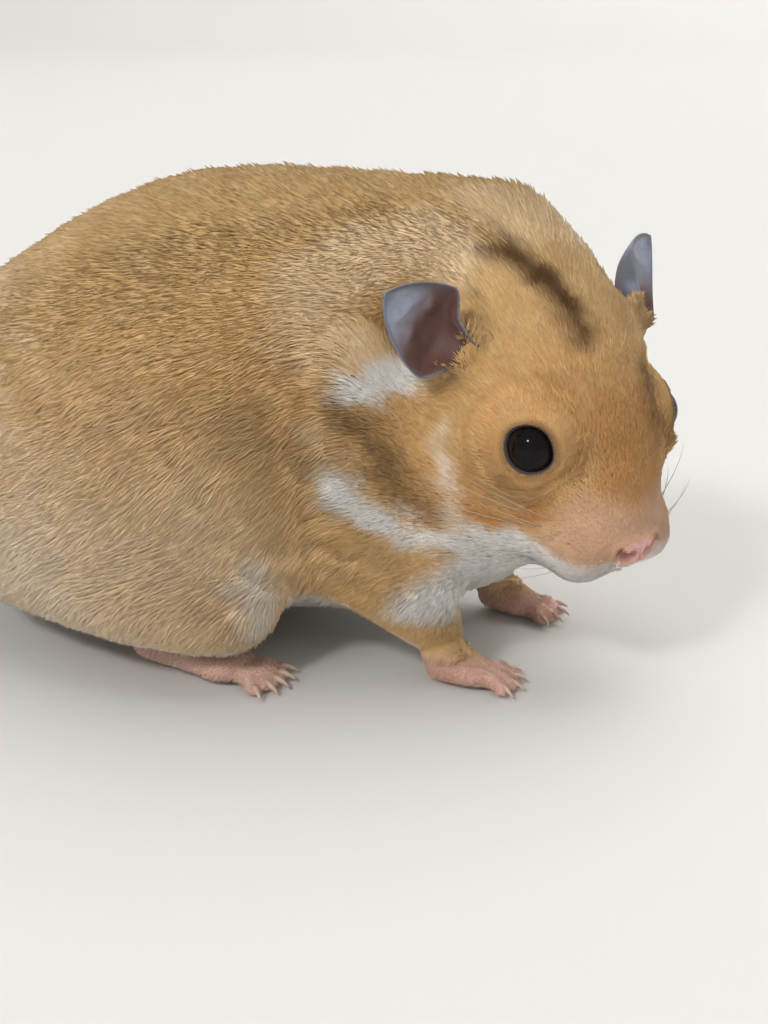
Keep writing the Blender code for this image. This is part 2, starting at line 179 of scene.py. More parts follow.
def folded(points):
    """The points with those on the right side moved to the same place on the left."""
    return np.stack([points[:, 0], np.abs(points[:, 1]), points[:, 2]], axis=1)


def tree_of(points):
    """A tree that finds the nearest of the points."""
    tree = kdtree.KDTree(len(points))
    for index, point in enumerate(points):
        tree.insert(point, index)
    tree.balance()
    return tree


def ripples(points, size, seed):
    """Smooth noise, about -1 to 1, that changes over the given size."""
    random = np.random.default_rng(seed)
    total = np.zeros(len(points))
    waves = 10
    for _ in range(waves):
        way = unit(random.normal(size=3))
        length = size * random.uniform(1.3, 3.0)
        total += np.sin(points @ way * (2 * math.pi / length) + random.uniform(0, 2 * math.pi))
    return np.clip(total * 1.4 / math.sqrt(waves), -1.0, 1.0)


def along_path(points, path):
    """Distance from each point to a line through a few points."""
    path = np.array(path, float)
    if len(path) == 1:
        return np.linalg.norm(points - path[0], axis=1)
    nearest = np.full(len(points), np.inf)
    for start, end in zip(path, path[1:]):
        way = end - start
        t = np.clip((points - start) @ way / (way @ way), 0.0, 1.0)
        nearest = np.minimum(nearest, np.linalg.norm(points - start - t[:, None] * way, axis=1))
    return nearest


def find_head():
    """The turn and place of the head's frame, in the part's frame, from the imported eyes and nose."""
    middles = {n: np.array(sum(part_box(n), Vector())) / 2 / MM for n in ("eye_left", "eye_right", "nose")}
    left = unit(middles["eye_left"] - middles["eye_right"])
    between = (middles["eye_left"] + middles["eye_right"]) / 2
    eye_line = EYE_PLACE * (1, 0, 1)
    to_nose = NOSE_PLACE - eye_line
    dip = math.atan2(-to_nose[2], to_nose[0])
    along = unit(middles["nose"] - between)
    across = np.cross(along, left)
    forward = unit(math.cos(dip) * along + math.sin(dip) * across)
    turn = np.stack([forward, left, np.cross(forward, left)], axis=1)
    return turn, between - turn @ eye_line


HEAD_TURN, HEAD_ORIGIN = find_head()
ANIMAL_ORIGIN = HEAD_ORIGIN - HEAD_PLACE


def to_head(points):
    return (points - HEAD_PLACE) @ HEAD_TURN


def from_head(points):
    return np.asarray(points, float) @ HEAD_TURN.T + HEAD_PLACE


def headness(head):
    """1 on the head and 0 behind it or out on the shoulders."""
    off_axis = np.hypot(head[:, 1], head[:, 2])
    return ease(head[:, 0], -22.0, -14.0) * ease(off_axis, 26.0, 21.0)


def turned_to_head(ways):
    return ways @ HEAD_TURN


def turned_from_head(ways):
    return np.asarray(ways, float) @ HEAD_TURN.T


def ear_middle(side_name, along, across):
    """Points of an ear's middle surface, from root (0) to tip (1) and edge to edge (-1 to 1)."""
    side = SIDES[side_name]
    mirror = np.array([1, side, 1])
    length_way = unit(EAR_TIP_WAYS[side_name] * mirror)
    opening = EAR_OPENING_WAY * mirror
    opening = unit(opening - opening @ length_way * length_way)
    edge_way = np.cross(length_way, opening) * side
    reach = np.maximum(along, 0.0)
    half = EAR_HALF_WIDTH * np.maximum(1.0 - reach**EAR_TAPER, 0.0) ** EAR_ROUNDING
    half = np.maximum(half, EAR_TIP_HALF_WIDTH) * rising(EAR_ROOT_WIDTH, ease(along, *EAR_ROOT_SPAN))
    half *= 1.0 - EAR_NOTCH * ease(-across, 0.0, 0.9) * ease(along, *EAR_NOTCH_SPAN)
    at_root, at_tip = EAR_CUP_DEGREES
    cup = np.radians(at_root + (at_tip - at_root) * reach)
    angle = across * cup
    sideways = half * np.sin(angle) / np.sin(cup) + EAR_LEAN * (1.0 - reach)
    depth = half * (np.cos(angle) - np.cos(cup)) / np.sin(cup)
    curl = EAR_CURL * reach**2
    return (
        EAR_ROOT * mirror
        + EAR_LENGTH * along[:, None] * length_way
        + sideways[:, None] * edge_way
        + (curl - EAR_CUP_SHARE * depth)[:, None] * opening
    )


def ear_point(side_name, along, across=0.0):
    return ear_middle(side_name, np.array([along]), np.array([across]))[0]


# ---------------------------------------------------------------- meshes from arrays


def mesh_from(name, points, faces):
    """A mesh in metres, in the part's frame, from points in the animal's frame."""
    mesh = bpy.data.meshes.new(name)
    corners = faces.shape[1]
    mesh.vertices.add(len(points))
    mesh.vertices.foreach_set("co", ((points + ANIMAL_ORIGIN) * MM).astype(np.float32).ravel())
    mesh.loops.add(faces.size)
    mesh.loops.foreach_set("vertex_index", faces.astype(np.int32).ravel())
    mesh.polygons.add(len(faces))
    mesh.polygons.foreach_set("loop_start", np.arange(0, faces.size, corners, dtype=np.int32))
    mesh.update(calc_edges=True)
    mesh.shade_smooth()
    return mesh


def object_from(name, mesh, material=None):
    obj = bpy.data.objects.new(name, mesh)
    bpy.context.scene.collection.objects.link(obj)
    if material is not None:
        mesh.materials.clear()
        mesh.materials.append(material)
    return obj


def points_of(mesh):
    found = np.empty(len(mesh.vertices) * 3, np.float32)
    mesh.vertices.foreach_get("co", found)
    return found.reshape(-1, 3).astype(float) / MM - ANIMAL_ORIGIN


def faces_of(mesh):
    """The corners of each face of a mesh whose faces all have the same number."""
    found = np.empty(len(mesh.loops), np.int32)
    mesh.loops.foreach_get("vertex_index", found)
    return found.reshape(len(mesh.polygons), -1)


def add_values(mesh, name, values):
    """An attribute on the points: one number or three for each."""
    values = np.asarray(values, np.float32)
    kind, field = ("FLOAT", "value") if values.ndim == 1 else ("FLOAT_VECTOR", "vector")
    mesh.attributes.new(name, kind, "POINT").data.foreach_set(field, values.ravel())


def values_of(mesh, name, width=3):
    found = np.empty(len(mesh.vertices) * width, np.float32)
    field = "value" if width == 1 else "vector"
    mesh.attributes[name].data.foreach_get(field, found)
    return found.astype(float) if width == 1 else found.reshape(-1, width).astype(float)


def ball_form(subdivisions, radius):
    """Points and triangles of a ball round the origin."""
    bm = bmesh.new()
    bmesh.ops.create_icosphere(bm, subdivisions=subdivisions, radius=radius)
    points = np.array([v.co for v in bm.verts])
    faces = np.array([[v.index for v in f.verts] for f in bm.faces])
    bm.free()
    return points, faces


def ring_faces(rings, around):
    """Quads from each ring of points to the next."""
    faces = []
    for ring in range(rings - 1):
        for i in range(around):
            a, b = ring * around + i, ring * around + (i + 1) % around
            faces.append((a, b, b + around, a + around))
    return faces


def worked(mesh, kind, settings, plain=None):
    """Points and faces of a mesh after a modifier, which may be held to the points marked plain."""
    obj = object_from(mesh.name, mesh)
    modifier = obj.modifiers.new("work", kind)
    for name, value in settings.items():
        setattr(modifier, name, value)
    if plain is not None:
        group = obj.vertex_groups.new(name="plain")
        group.add(np.flatnonzero(plain).tolist(), 1.0, "REPLACE")
        modifier.vertex_group = group.name
    graph = bpy.context.evaluated_depsgraph_get()
    result = bpy.data.meshes.new_from_object(obj.evaluated_get(graph))
    points, faces = points_of(result), faces_of(result)
    bpy.data.objects.remove(obj)
    bpy.data.meshes.remove(mesh)
    bpy.data.meshes.remove(result)
    return points, faces


def point_normals(points, faces):
    corners = [points[faces[:, i]] for i in range(faces.shape[1])]
    if len(corners) == 4:
        across = np.cross(corners[2] - corners[0], corners[3] - corners[1])
    else:
        across = np.cross(corners[1] - corners[0], corners[2] - corners[0])
    total = np.zeros_like(points)
    for corner in faces.T:
        for axis in range(3):
            total[:, axis] += np.bincount(corner, across[:, axis], len(points))
    return unit(total)


def relaxed(values, faces, rounds, share=0.5):
    """The values at each point, eased towards their neighbours' mean a number of times."""
    pairs = np.concatenate([faces[:, [i, (i + 1) % faces.shape[1]]] for i in range(faces.shape[1])])
    here, there = pairs.T
    count = np.maximum(np.bincount(here, minlength=len(values)), 1)
    values = values.copy()
    flat = values.reshape(len(values), -1)
    share = np.broadcast_to(share, len(values))[:, None]
    for _ in range(rounds):
        mean = np.stack(
            [np.bincount(here, flat[there, i], len(flat)) / count for i in range(flat.shape[1])], axis=1
        )
        flat += (mean - flat) * share
    return flat.reshape(values.shape)


CHAIN_STEPS = 6  # forms from one knot of a chain to the next


class Forms:
    """Closed forms that overlap, gathered to be fused into one skin."""

    def __init__(self):
        self.points = []
        self.faces = []
        self.count = 0
        self.ball, self.ball_faces = ball_form(3, 1.0)

    def add(self, points, faces):
        self.points.append(points)
        self.faces.append(faces + self.count)
        self.count += len(points)

    def ellipsoid(self, centre, radii):
        self.add(self.ball * radii + centre, self.ball_faces)

    def chain(self, knots, place, slim):
        """Ellipsoids along a line of knots (centre and half sizes), each put in place."""
        knots = np.array(knots, float)
        spans = len(knots) - 1
        for t in np.linspace(0, spans, CHAIN_STEPS * spans + 1):
            row = np.array([np.interp(t, range(len(knots)), knots[:, i]) for i in range(6)])
            self.add(place(self.ball * (row[3:] - slim) + row[:3]), self.ball_faces)

    def fused(self, voxel):
        """Points and quads of one closed skin round all the forms."""
        mesh = mesh_from("forms", np.concatenate(self.points), np.concatenate(self.faces))
        return worked(mesh, "REMESH", {"mode": "VOXEL", "voxel_size": voxel * MM})


# ---------------------------------------------------------------- the skin's form


def node_form(name):
    """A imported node's points and triangles, swollen a little along its normals."""
    bm = bmesh.new()
    bm.from_mesh(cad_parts[name].data)
    bmesh.ops.remove_doubles(bm, verts=bm.verts, dist=MERGE_METRES)
    bmesh.ops.triangulate(bm, faces=bm.faces)
    bm.normal_update()
    points = np.array([v.co + v.normal * SWELL * MM for v in bm.verts]) / MM - ANIMAL_ORIGIN
    faces = np.array([[v.index for v in f.verts] for f in bm.faces])
    bm.free()
    return points, faces


def spun(points, angle):
    """Points or ways turned about +Z."""
    c, s = math.cos(angle), math.sin(angle)
    return points @ np.array([[c, s, 0], [-s, c, 0], [0, 0, 1]])


def paw_place(paw, side, turn=None):
    """Takes points of a paw's own frame, or of a toe's with this turn, to the animal's frame."""

    def place(points):
        points = np.array(points, float)
        if turn is not None:
            points = spun(points * (paw["reach"], 1, 1), math.radians(turn)) + paw["knuckles"]
        points = spun(points, math.radians(paw["toe_out"] * side))
        return points + np.array(paw["place"]) * (1, side, 1)

    return place


SOLE_SLIM = 0.1  # how much less the skin of a sole measures than its packed form
TOE_SLIM = 0.12


def add_paws(forms):
    for paw in (HIND_FOOT, FOREPAW):
        for side in SIDES.values():
            forms.chain(paw["sole"], paw_place(paw, side), SOLE_SLIM)
            joint = np.array(paw["joint"])
            forms.ellipsoid(joint[:3] * (1, side, 1), joint[3:])
            for turn in paw["fan"]:
                forms.chain(TOE, paw_place(paw, side, turn), TOE_SLIM)


def coat_depth(points, names):
    """How far the skin lies under the coat's outline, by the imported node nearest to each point."""
    depth = np.interp(to_head(points)[:, 0], *HEAD_DEPTHS)
    for name, even in EVEN_DEPTHS.items():
        depth[names == name] = even
    for name, (low, high, *heights) in DEPTHS_BY_HEIGHT.items():
        here = names == name
        depth[here] = low + (high - low) * ease(points[here, 2], *heights)
    return depth


EYE_BED = 0.55  # how much further than the eyeball the flesh round it reaches
EAR_BASE_RADIUS = 1.7  # balls of flesh that an ear's root stands in
EAR_BASE_SPAN = (-0.55, -0.15)
LID_DEPTH = 0.35  # how deep the coat is on an eye's axis, as a share of the depth round it


def body_form():
    """The body less its coat: packed flesh fused, smoothed and drawn in by the coat's depth."""
    forms = Forms()
    places, owners = [], []
    for name in BODY_NODES:
        points, faces = node_form(name)
        forms.add(points, faces)
        places.extend(points)
        owners += [name.removesuffix("_left").removesuffix("_right")] * len(points)
    for name, side in SIDES.items():
        forms.ellipsoid(from_head(EYE_PLACE * (1, side, 1)), EYE_RADIUS + EYE_BED)
        for across in np.linspace(-1, 1, 7):
            for along in np.linspace(*EAR_BASE_SPAN, 4):
                forms.ellipsoid(from_head(ear_point(name, along, across)), EAR_BASE_RADIUS)
    points, faces = forms.fused(BODY_VOXEL)

    tree = tree_of(places)
    names = np.array([owners[tree.find(point)[1]] for point in points])
    on_head = ease(to_head(points)[:, 0], -16, -4)
    points = relaxed(points, faces, 16, 0.5 - 0.25 * on_head)
    depth = relaxed(coat_depth(points, names), faces, 10)
    off, _ = round_eyes(to_head(points))
    depth *= rising(LID_DEPTH, ease(off, 3.0, 8.0))
    outline = bvhtree.BVHTree.FromPolygons(points.tolist(), faces.tolist())
    return points - point_normals(points, faces) * (depth + SWELL)[:, None], faces, outline


# Where the skin is made finer, once and again: this near an eye's axis or this far along the head.
FINER = ((5.6, 12.5), (3.9, 17.6))
KEPT_ROUND_EYES = 4.4  # how far round an eye and the nose no triangle is lost to thinning
KEPT_ROUND_NOSE = 4.2


def refined(points, faces):
    """The mesh as triangles, with its edges halved where the skin is made finer."""
    mesh = mesh_from("skin", points, faces)
    bm = bmesh.new()
    bm.from_mesh(mesh)
    for reach, front in FINER:
        middles = np.array([f.calc_center_median() for f in bm.faces]) / MM - ANIMAL_ORIGIN
        head = to_head(middles)
        picked = (round_eyes(head)[0] < reach) | (head[:, 0] > front)
        edges = {e for f, hit in zip(bm.faces, picked) if hit for e in f.edges}
        bmesh.ops.subdivide_edges(bm, edges=list(edges), cuts=1, use_grid_fill=True)
    bmesh.ops.triangulate(bm, faces=bm.faces)
    bm.to_mesh(mesh)
    bm.free()
    points, faces = points_of(mesh), faces_of(mesh)
    bpy.data.meshes.remove(mesh)
    return points, faces


def thinned(points, faces, fine):
    """The mesh with about as many triangles as the skin may have; none are lost where it is fine."""
    mesh = mesh_from("skin", points, faces)
    settings = {"ratio": SKIN_FACES / len(faces), "use_collapse_triangulate": True}
    return worked(mesh, "DECIMATE", settings, ~fine)


def eye_frame(side):
    """Centre and axes of an eye, in the head's frame: outwards, towards the nose and up."""
    outwards = unit(EYE_WAY * (1, side, 1))
    up = np.array([0.0, 0.0, 1.0])
    nosewards = unit(np.cross(outwards, up) * side)
    nosewards *= np.sign(nosewards[0])
    return EYE_PLACE * (1, side, 1), outwards, nosewards, unit(np.cross(nosewards, outwards) * -side)


def round_eye(head, side):
    """Height over the eye's middle plane, distance from its axis and angle from the nose."""
    centre, outwards, nosewards, up = eye_frame(side)
    offset = head - centre
    height = offset @ outwards
    return height, np.hypot(offset @ nosewards, offset @ up), np.arctan2(offset @ up, offset @ nosewards)


def lid_edge(angle):
    """The opening between the lids: nearly round, drawn out a little at its two corners."""
    return LID_RADIUS + LID_CORNER * np.abs(np.cos(angle)) ** 7


FAR = 99.0  # further than any eased distance round an eye reaches


def round_eyes(head, back=-3.0):
    """How far each point is from the nearer eye's axis and from the edge of its lids.

    A point further back than this, as an eye sees it, counts as far away from that eye.
    """
    offs, outs = [], []
    for side in SIDES.values():
        height, off, angle = round_eye(head, side)
        beside = height > back
        offs.append(np.where(beside, off, FAR))
        outs.append(np.where(beside, off - lid_edge(angle), FAR))
    return np.minimum(*offs), np.minimum(*outs)


EYE_MOUND = 7.4  # how far from an eye's axis its mound meets the cheek
LID_GAP = 0.06  # between the ball and the inside of the lids
LID_ROLL = 0.24  # how high the lids' edge rolls up
LID_CREASE = 0.1
LID_TUCK = 1.6  # how deep the lids turn in round the ball


def level_round(height, angle, ring):
    """The cheek's height round an eye at every angle, as smooth waves through a ring of points."""
    waves = [wave(times * angle) for times in (1, 2, 3) for wave in (np.cos, np.sin)]
    turns = np.stack([np.ones(len(angle)), *waves], axis=1)
    return turns @ np.linalg.lstsq(turns[ring], height[ring], rcond=None)[0]


def shape_lids(head):
    """Skin round each eye, as lids that fold over the ball on a soft mound of the cheek."""
    for side in SIDES.values():
        _, outwards, _, _ = eye_frame(side)
        height, off, angle = round_eye(head, side)
        reach = ease(height, -7.0, -5.0) * ease(off, EYE_MOUND, 6.0)
        level = level_round(height, angle, (off > 6.2) & (off < EYE_MOUND) & (height > -6.0))
        edge = lid_edge(angle)
        rim = np.sqrt(np.maximum(EYE_RADIUS**2 - edge**2, 0.05))
        out = off - edge
        lid = rim + LID_GAP + LID_ROLL * ease(out, -0.05, 0.3) - LID_CREASE * ease(out, 0.45, 0.8)
        lid = blend(lid, level, 0.5 * ease(out, 0.3, 4.2) + 0.5 * ease(out, 0.3, 3.2))
        lid = np.where(out < 0, rim + LID_GAP - LID_TUCK * ease(out, 0.0, -0.35), lid)
        target = blend(height, lid, reach)
        head = head + (target - height)[:, None] * outwards
    return head


NOSE_SPREAD = (1.0, 1.15, 1.0)  # the bare nose is a little wider than it is high

# Lines pressed into the muzzle's left side, in the head's frame.
NOSTRIL = [(20.4, 0.95, -2.6), (20.3, 1.45, -3.05), (19.9, 2.0, -3.05), (19.6, 2.45, -2.75)]
PHILTRUM = [(20.9, 0.0, -2.6), (20.6, 0.0, -4.6), (19.7, 0.0, -6.6)]
MOUTH = [(19.4, 0.0, -6.9), (18.2, 2.0, -8.0), (15.5, 4.0, -8.9), (12.0, 5.4, -9.6), (9.0, 6.2, -10.2)]
# For nostril, split of the lip and mouth: how deep and how wide the line is pressed in, and how
# wet it is and how wide the wet part is; the wettest, deep in the nostrils, also sets painted shade.
LINE_DEPTHS = ((1.1, 0.42), (0.6, 0.26), (0.5, 0.34))
LINE_MOISTURE_AND_SHADE = ((1.0, 0.5), (0.8, 0.3), (0.7, 0.45))
NOSTRIL_RIM = (0.25, 0.9, 0.3)  # how high, how far from the nostril's line and how wide


def from_muzzle_lines(head):
    """How far each point is from a nostril and the lip's split, seen from in front, and the mouth."""
    head = folded(head)
    from_front = np.array([0.25, 1.0, 1.0])
    nostril, split = (
        along_path(head * from_front, np.array(path) * from_front) for path in (NOSTRIL, PHILTRUM)
    )
    return nostril, split, along_path(head, MOUTH)


def shape_muzzle(head, normals):
    """Nostrils, the split of the upper lip and the line of the mouth, pressed into the muzzle."""
    offs = from_muzzle_lines(head)
    press = sum(deep * bell(off, wide) for off, (deep, wide) in zip(offs, LINE_DEPTHS))
    high, away, wide = NOSTRIL_RIM
    press -= high * bell(offs[0] - away, wide)
    press *= ease(head[:, 0], 8.0, 10.0)
    return head - normals * press[:, None]


def moist_and_shaded_places(head):
    """1 deep in the nostrils, and less on the lips' edges and over the nose. Near 1 it also sets painted
    shade in the nostrils.
    """
    lines = zip(from_muzzle_lines(head), LINE_MOISTURE_AND_SHADE)
    nose = 0.3 * ease(np.linalg.norm(head - NOSE_PLACE, axis=1), 3.4, 2.4)
    return np.maximum.reduce([nose, *(moist_and_shade * bell(off, wide) for off, (moist_and_shade, wide) in lines)])


RUMP_ROUNDS = 80  # how often the haunch and rump are eased, so that no fold shows between them
SOLE_LEVEL = 0.04
LEAST_COAT = 0.15
PAW_COAT = 0.25  # the most that the coat may be on the paws, and how much more above them
BODY_COAT = 3.3


def skin_form():
    """Points and triangles of the whole skin, and the coat's depth over each point."""
    forms = Forms()
    points, quads, outline = body_form()
    forms.add(points, np.concatenate([quads[:, [0, 1, 2]], quads[:, [0, 2, 3]]]))
    add_paws(forms)
    points, faces = forms.fused(SKIN_VOXEL)
    above_paws = ease(points[:, 2], 6.0, 14.0)
    points = relaxed(points, faces, 3, 0.2 + 0.3 * above_paws)
    rump = ease(points[:, 0], -10.0, -22.0) * ease(np.abs(points[:, 1]), 6.0, 10.0)
    points = relaxed(points, faces, RUMP_ROUNDS, 0.5 * rump)
    points, faces = refined(points, faces)
    head = to_head(points)
    fine = round_eyes(head)[0] < KEPT_ROUND_EYES
    fine |= np.linalg.norm(head - NOSE_PLACE, axis=1) < KEPT_ROUND_NOSE
    points, faces = thinned(points, faces, fine)
    face = ease(to_head(points)[:, 0], 1.0, 4.0)
    points = relaxed(points, faces, 4, 0.5 * face)
    head = shape_lids(to_head(points))
    head = shape_muzzle(head, turned_to_head(point_normals(from_head(head), faces)))
    points = from_head(head)
    points[:, 2] = np.maximum(points[:, 2], SOLE_LEVEL)
    reach = np.array([outline.find_nearest(point)[3] for point in points]) - SWELL
    reach = np.minimum(reach, PAW_COAT + BODY_COAT * ease(points[:, 2], 3.0, 10.0))
    return points, faces, relaxed(np.maximum(reach, LEAST_COAT), faces, 6)


# ---------------------------------------------------------------- coat marks and painted shade

# Lines in the head's frame that the coat marks and painted shade follow; KNEE and the shoulder fold's shade
# are in the animal's frame.
CRESCENT = [
    (-3.6, 29.9, -6.8), (-1.5, 27.9, -8.3), (0.7, 25.7, -9.3), (2.9, 22.6, -10.1),
    (5.0, 19.2, -10.5), (8.1, 16.3, -9.5), (11.4, 11.0, -7.6),
]
CHEEK_FLASH = [
    (-8.2, 28.1, 1.5), (-5.9, 25.7, -0.5), (-3.2, 23.6, -2.8), (-0.2, 21.5, -5.7),
    (3.1, 19.5, -8.5),
]
CHEEK_BAND = [(-3.0, 16.8, 0.7), (-0.5, 17.0, -2.0), (2.2, 17.0, -4.7), (5.2, 16.9, -7.0)]
CHEEK_ORANGE = [(4.6, 16.3, -5.6), (7.3, 14.3, -5.5), (9.4, 12.2, -4.6), (10.6, 10.3, -2.2)]
UNDER_EAR = [(-9.6, 26.9, 3.6), (-9.1, 24.2, 4.0), (-9.0, 21.9, 4.7), (-8.7, 18.5, 5.0)]
BEHIND_EAR = [
    (-11.1, 25.9, 5.5), (-14.7, 27.9, 7.5), (-17.5, 30.0, 8.0), (-20.4, 28.2, 10.2),
    (-21.8, 23.8, 12.3), (-21.7, 18.7, 14.0), (-20.2, 14.2, 15.2), (-17.5, 11.6, 15.5),
]
# A dark line along the crown, on one side only: partly dark fur and partly painted shadow where the coat
# parts at the bent neck.
CROWN_LINE_AND_SHADE = [
    (-15.2, -6.1, 16.9), (-13.6, -5.0, 17.0), (-11.0, -3.6, 16.9), (-8.0, -2.5, 16.5),
    (-5.1, -1.4, 15.7), (-2.3, -1.0, 14.8),
]
SHOULDER = [(-3.1, 30.0, -7.8), (-6.0, 31.0, -4.0), (-8.0, 31.5, -1.0)]
NAPE = [(-23.8, -3.7, 18.0), (-18.8, -1.1, 18.6), (-18.4, 6.0, 16.8), (-16.1, 8.6, 15.0)]
# Darker fur on the far brow, deepened with painted shadow between the middle of the head and the far brow.
FAR_BROW_FUR_AND_SHADE = [(4.9, 6.1, 10.8), (8.2, 5.2, 9.2), (10.9, 5.3, 6.6)]
EAR_FRONT = [(-11.1, 11.2, 13.3), (-9.2, 10.9, 11.0), (-7.3, 13.2, 9.6)]
KNEE = [(11.0, 24.2, 15.8), (11.7, 23.0, 10.0)]
# Painted shade in the fold where the shoulder meets the haunch, in the animal's frame.
SHOULDER_FOLD_SHADE = [(12.4, 27.0, 36.0), (17.4, 24.2, 30.8), (20.1, 21.7, 26.5)]


def markings(points, normals):
    """How white, dark and orange, and how cream, bare and dorsal, the coat is at each point; part of the
    dark is painted shade.
    """
    head = to_head(points)
    on_right = head[:, 1] < 0
    folded_head = folded(head)
    folded_body = folded(points)
    ragged = 0.6 * ripples(points, 5.0, 11) + 0.5 * ripples(points, 1.8, 12)
    is_head = headness(head)

    def patch(path, reach, soft=1.3):
        """A band along a path: as it lies on the right, and flattened to the cheek on the left."""
        flat = np.array([1.0, 0.35, 1.0])
        near = along_path(folded_head, path)
        far = along_path(folded_head * flat, np.array(path) * flat)
        return ease(np.where(on_right, near, far) + ragged, reach + soft, reach - soft)

    def spot(where, path, reach, soft):
        return ease(along_path(where, path) + ragged, reach + soft, reach - soft)

    down = -normals[:, 2] + 0.1 * ragged
    height = points[:, 2]
    lip = ease(head[:, 2] + 4.2 + 0.35 * (17.0 - head[:, 0]) + 0.35 * ragged, 0.8, -0.9)
    lip *= ease(head[:, 0], 6.0, 9.5)
    chest = ease(folded_body[:, 1], 9.0, 5.0) * ease(height, 22.0, 16.0)
    chest *= ease(points[:, 0], 18.0, 26.0)
    underside = ease(down, 0.35, 0.8) * ease(height, 17.0, 9.0)
    low_flank = ease(height + 4.0 * ragged, 40.0, 10.0) * ease(points[:, 0], 10.0, -20.0)
    rump = ease(points[:, 0] + 6.0 * ragged, -14.0, -46.0) * ease(height, 58.0, 40.0)
    white = np.maximum.reduce([
        patch(CRESCENT, 2.0, 1.5),
        patch(UNDER_EAR, 2.3),
        lip * ease(height, 8.0, 11.0),
        0.4 * patch(CHEEK_BAND, 0.9, 1.5),
        0.9 * chest * ease(down, -0.2, 0.3),
        0.85 * underside,
        0.55 * spot(folded_body, KNEE, 2.6, 2.0),
        0.3 * low_flank,
        0.55 * rump,
    ])
    dark = np.maximum.reduce([
        0.55 * patch(CHEEK_FLASH, 2.2, 2.0),
        # the crown line: dark fur and painted shadow of the coat's parting
        spot(head, CROWN_LINE_AND_SHADE, 1.6, 2.2),
        0.3 * round_lids(head, 1.5, 0.5),
        # darker fur and painted shadow by the far brow
        0.42 * spot(head, FAR_BROW_FUR_AND_SHADE, 1.0, 1.8),
        0.5 * patch(EAR_FRONT, 1.2, 1.6),
        # painted shade in the fold between shoulder and haunch
        0.28 * spot(folded_body, SHOULDER_FOLD_SHADE, 3.0, 3.5),
    ])
    bridge = ease(folded_head[:, 1], 9.0, 3.0) * ease(head[:, 0], 1.0, 8.0) * ease(head[:, 2], 0.0, 4.0)
    face = ease(head[:, 0], -8.0, 4.0) * is_head
    orange = np.maximum.reduce([0.9 * patch(CHEEK_ORANGE, 1.8, 2.8), 0.75 * bridge, 0.38 * face])
    flank = ease(height + 3.0 * ragged, 52.0, 16.0) * ease(points[:, 0], 22.0, 4.0)
    cream = np.maximum.reduce([
        patch(CHEEK_BAND, 1.3, 1.5),
        0.95 * flank * (1.0 - is_head),
        0.6 * patch(SHOULDER, 3.0, 3.0),
        0.85 * patch(BEHIND_EAR, 4.4, 2.5),
        0.55 * spot(head, NAPE, 4.0, 2.5),
    ])
    dorsal = ease(normals[:, 2] + 0.1 * ragged, 0.35, 0.95) * (1.0 - 0.6 * is_head)
    marks = np.stack([white, dark, orange * (1.0 - white)], axis=1)
    return marks, np.stack([cream, bare_skin(head, points), dorsal], axis=1)


def from_nose(head):
    return np.linalg.norm((head - NOSE_PLACE) / NOSE_SPREAD, axis=1)


def bare_skin(head, points):
    """1 where the skin is bare and pink: nose, lips, soles, toes and the tail's tip."""
    nose = ease(from_nose(head), 3.0, 2.2)
    muzzle = 0.6 * ease(head[:, 0], 10.5, 14.5) * ease(head[:, 2], -6.2, -4.2)
    muzzle *= ease(head[:, 2] - 0.25 * (17.0 - head[:, 0]), 3.8, 0.6)
    feet = 0.85 * ease(points[:, 2], 5.5, 3.0)
    tail = ease(points[:, 0], -49.5, -51.5) * ease(np.abs(points[:, 2] - TAIL_HEIGHT), 3.5, 2.0)
    return np.maximum.reduce([nose, muzzle, feet, tail])


EAR_CUP_SPAN = (-0.1, 0.9)  # the part of an ear, from root to tip, that keeps fur away
EAR_CUP_GRID = (26, 18)
EAR_REGION = 22.0  # no point further from an ear's middle than this is near its cup


class EarRoom:
    """Keeps fur out of the cups of the ears."""

    def __init__(self):
        self.sides = []
        rows, columns = EAR_CUP_GRID
        for name, side in SIDES.items():
            along, across = np.meshgrid(np.linspace(*EAR_CUP_SPAN, rows), np.linspace(-1, 1, columns))
            grid = from_head(ear_middle(name, along.ravel(), across.ravel()))
            opening = turned_from_head(unit(EAR_OPENING_WAY * (1, side, 1)))
            self.sides.append((tree_of(grid), opening))

    def near(self, points, low, high, behind=0.25):
        """0 in an ear's cup and 1 clear of it, or more than a little way behind the ear."""
        room = np.ones(len(points))
        for tree, opening in self.sides:
            centre = np.array(tree.find((0, 0, 0))[0])
            for index in np.flatnonzero(np.linalg.norm(points - centre, axis=1) < EAR_REGION):
                found, _, distance = tree.find(points[index])
                if (points[index] - found) @ opening > -behind:
                    room[index] = min(room[index], ease(distance, low, high))
        return room


EAR_ROOM = EarRoom()


def round_lids(head, far, near):
    """0 further outside the edge of the lids than the first distance and 1 nearer than the second."""
    return ease(round_eyes(head)[1], far, near)


# ---------------------------------------------------------------- the coat


class Hide:
    """The finished skin, read back from its mesh, and what grows on it."""

    def __init__(self):
        mesh = bpy.data.objects["hamster_skin"].data
        self.points = points_of(mesh)
        self.faces = faces_of(mesh)
        self.normals = point_normals(self.points, self.faces)
        self.depth = values_of(mesh, "depth", 1)
        self.ground = values_of(mesh, "ground")
        a, b, c = (self.points[self.faces[:, i]] for i in range(3))
        self.areas = np.linalg.norm(np.cross(b - a, c - a), axis=1) / 2

    def at_faces(self, values):
        return values[self.faces].mean(axis=1)

    def sow(self, density, seed):
        """Roots over the skin, so many to the square millimetre on each triangle."""
        random = np.random.default_rng(seed)
        count = np.floor(self.areas * density + random.random(len(self.faces))).astype(int)
        chosen = np.repeat(np.arange(len(self.faces)), count)
        a, b = random.random((2, len(chosen)))
        over = a + b > 1
        a, b = np.where(over, 1 - a, a), np.where(over, 1 - b, b)
        return Roots(self, chosen, np.stack([1 - a - b, a, b], axis=1))


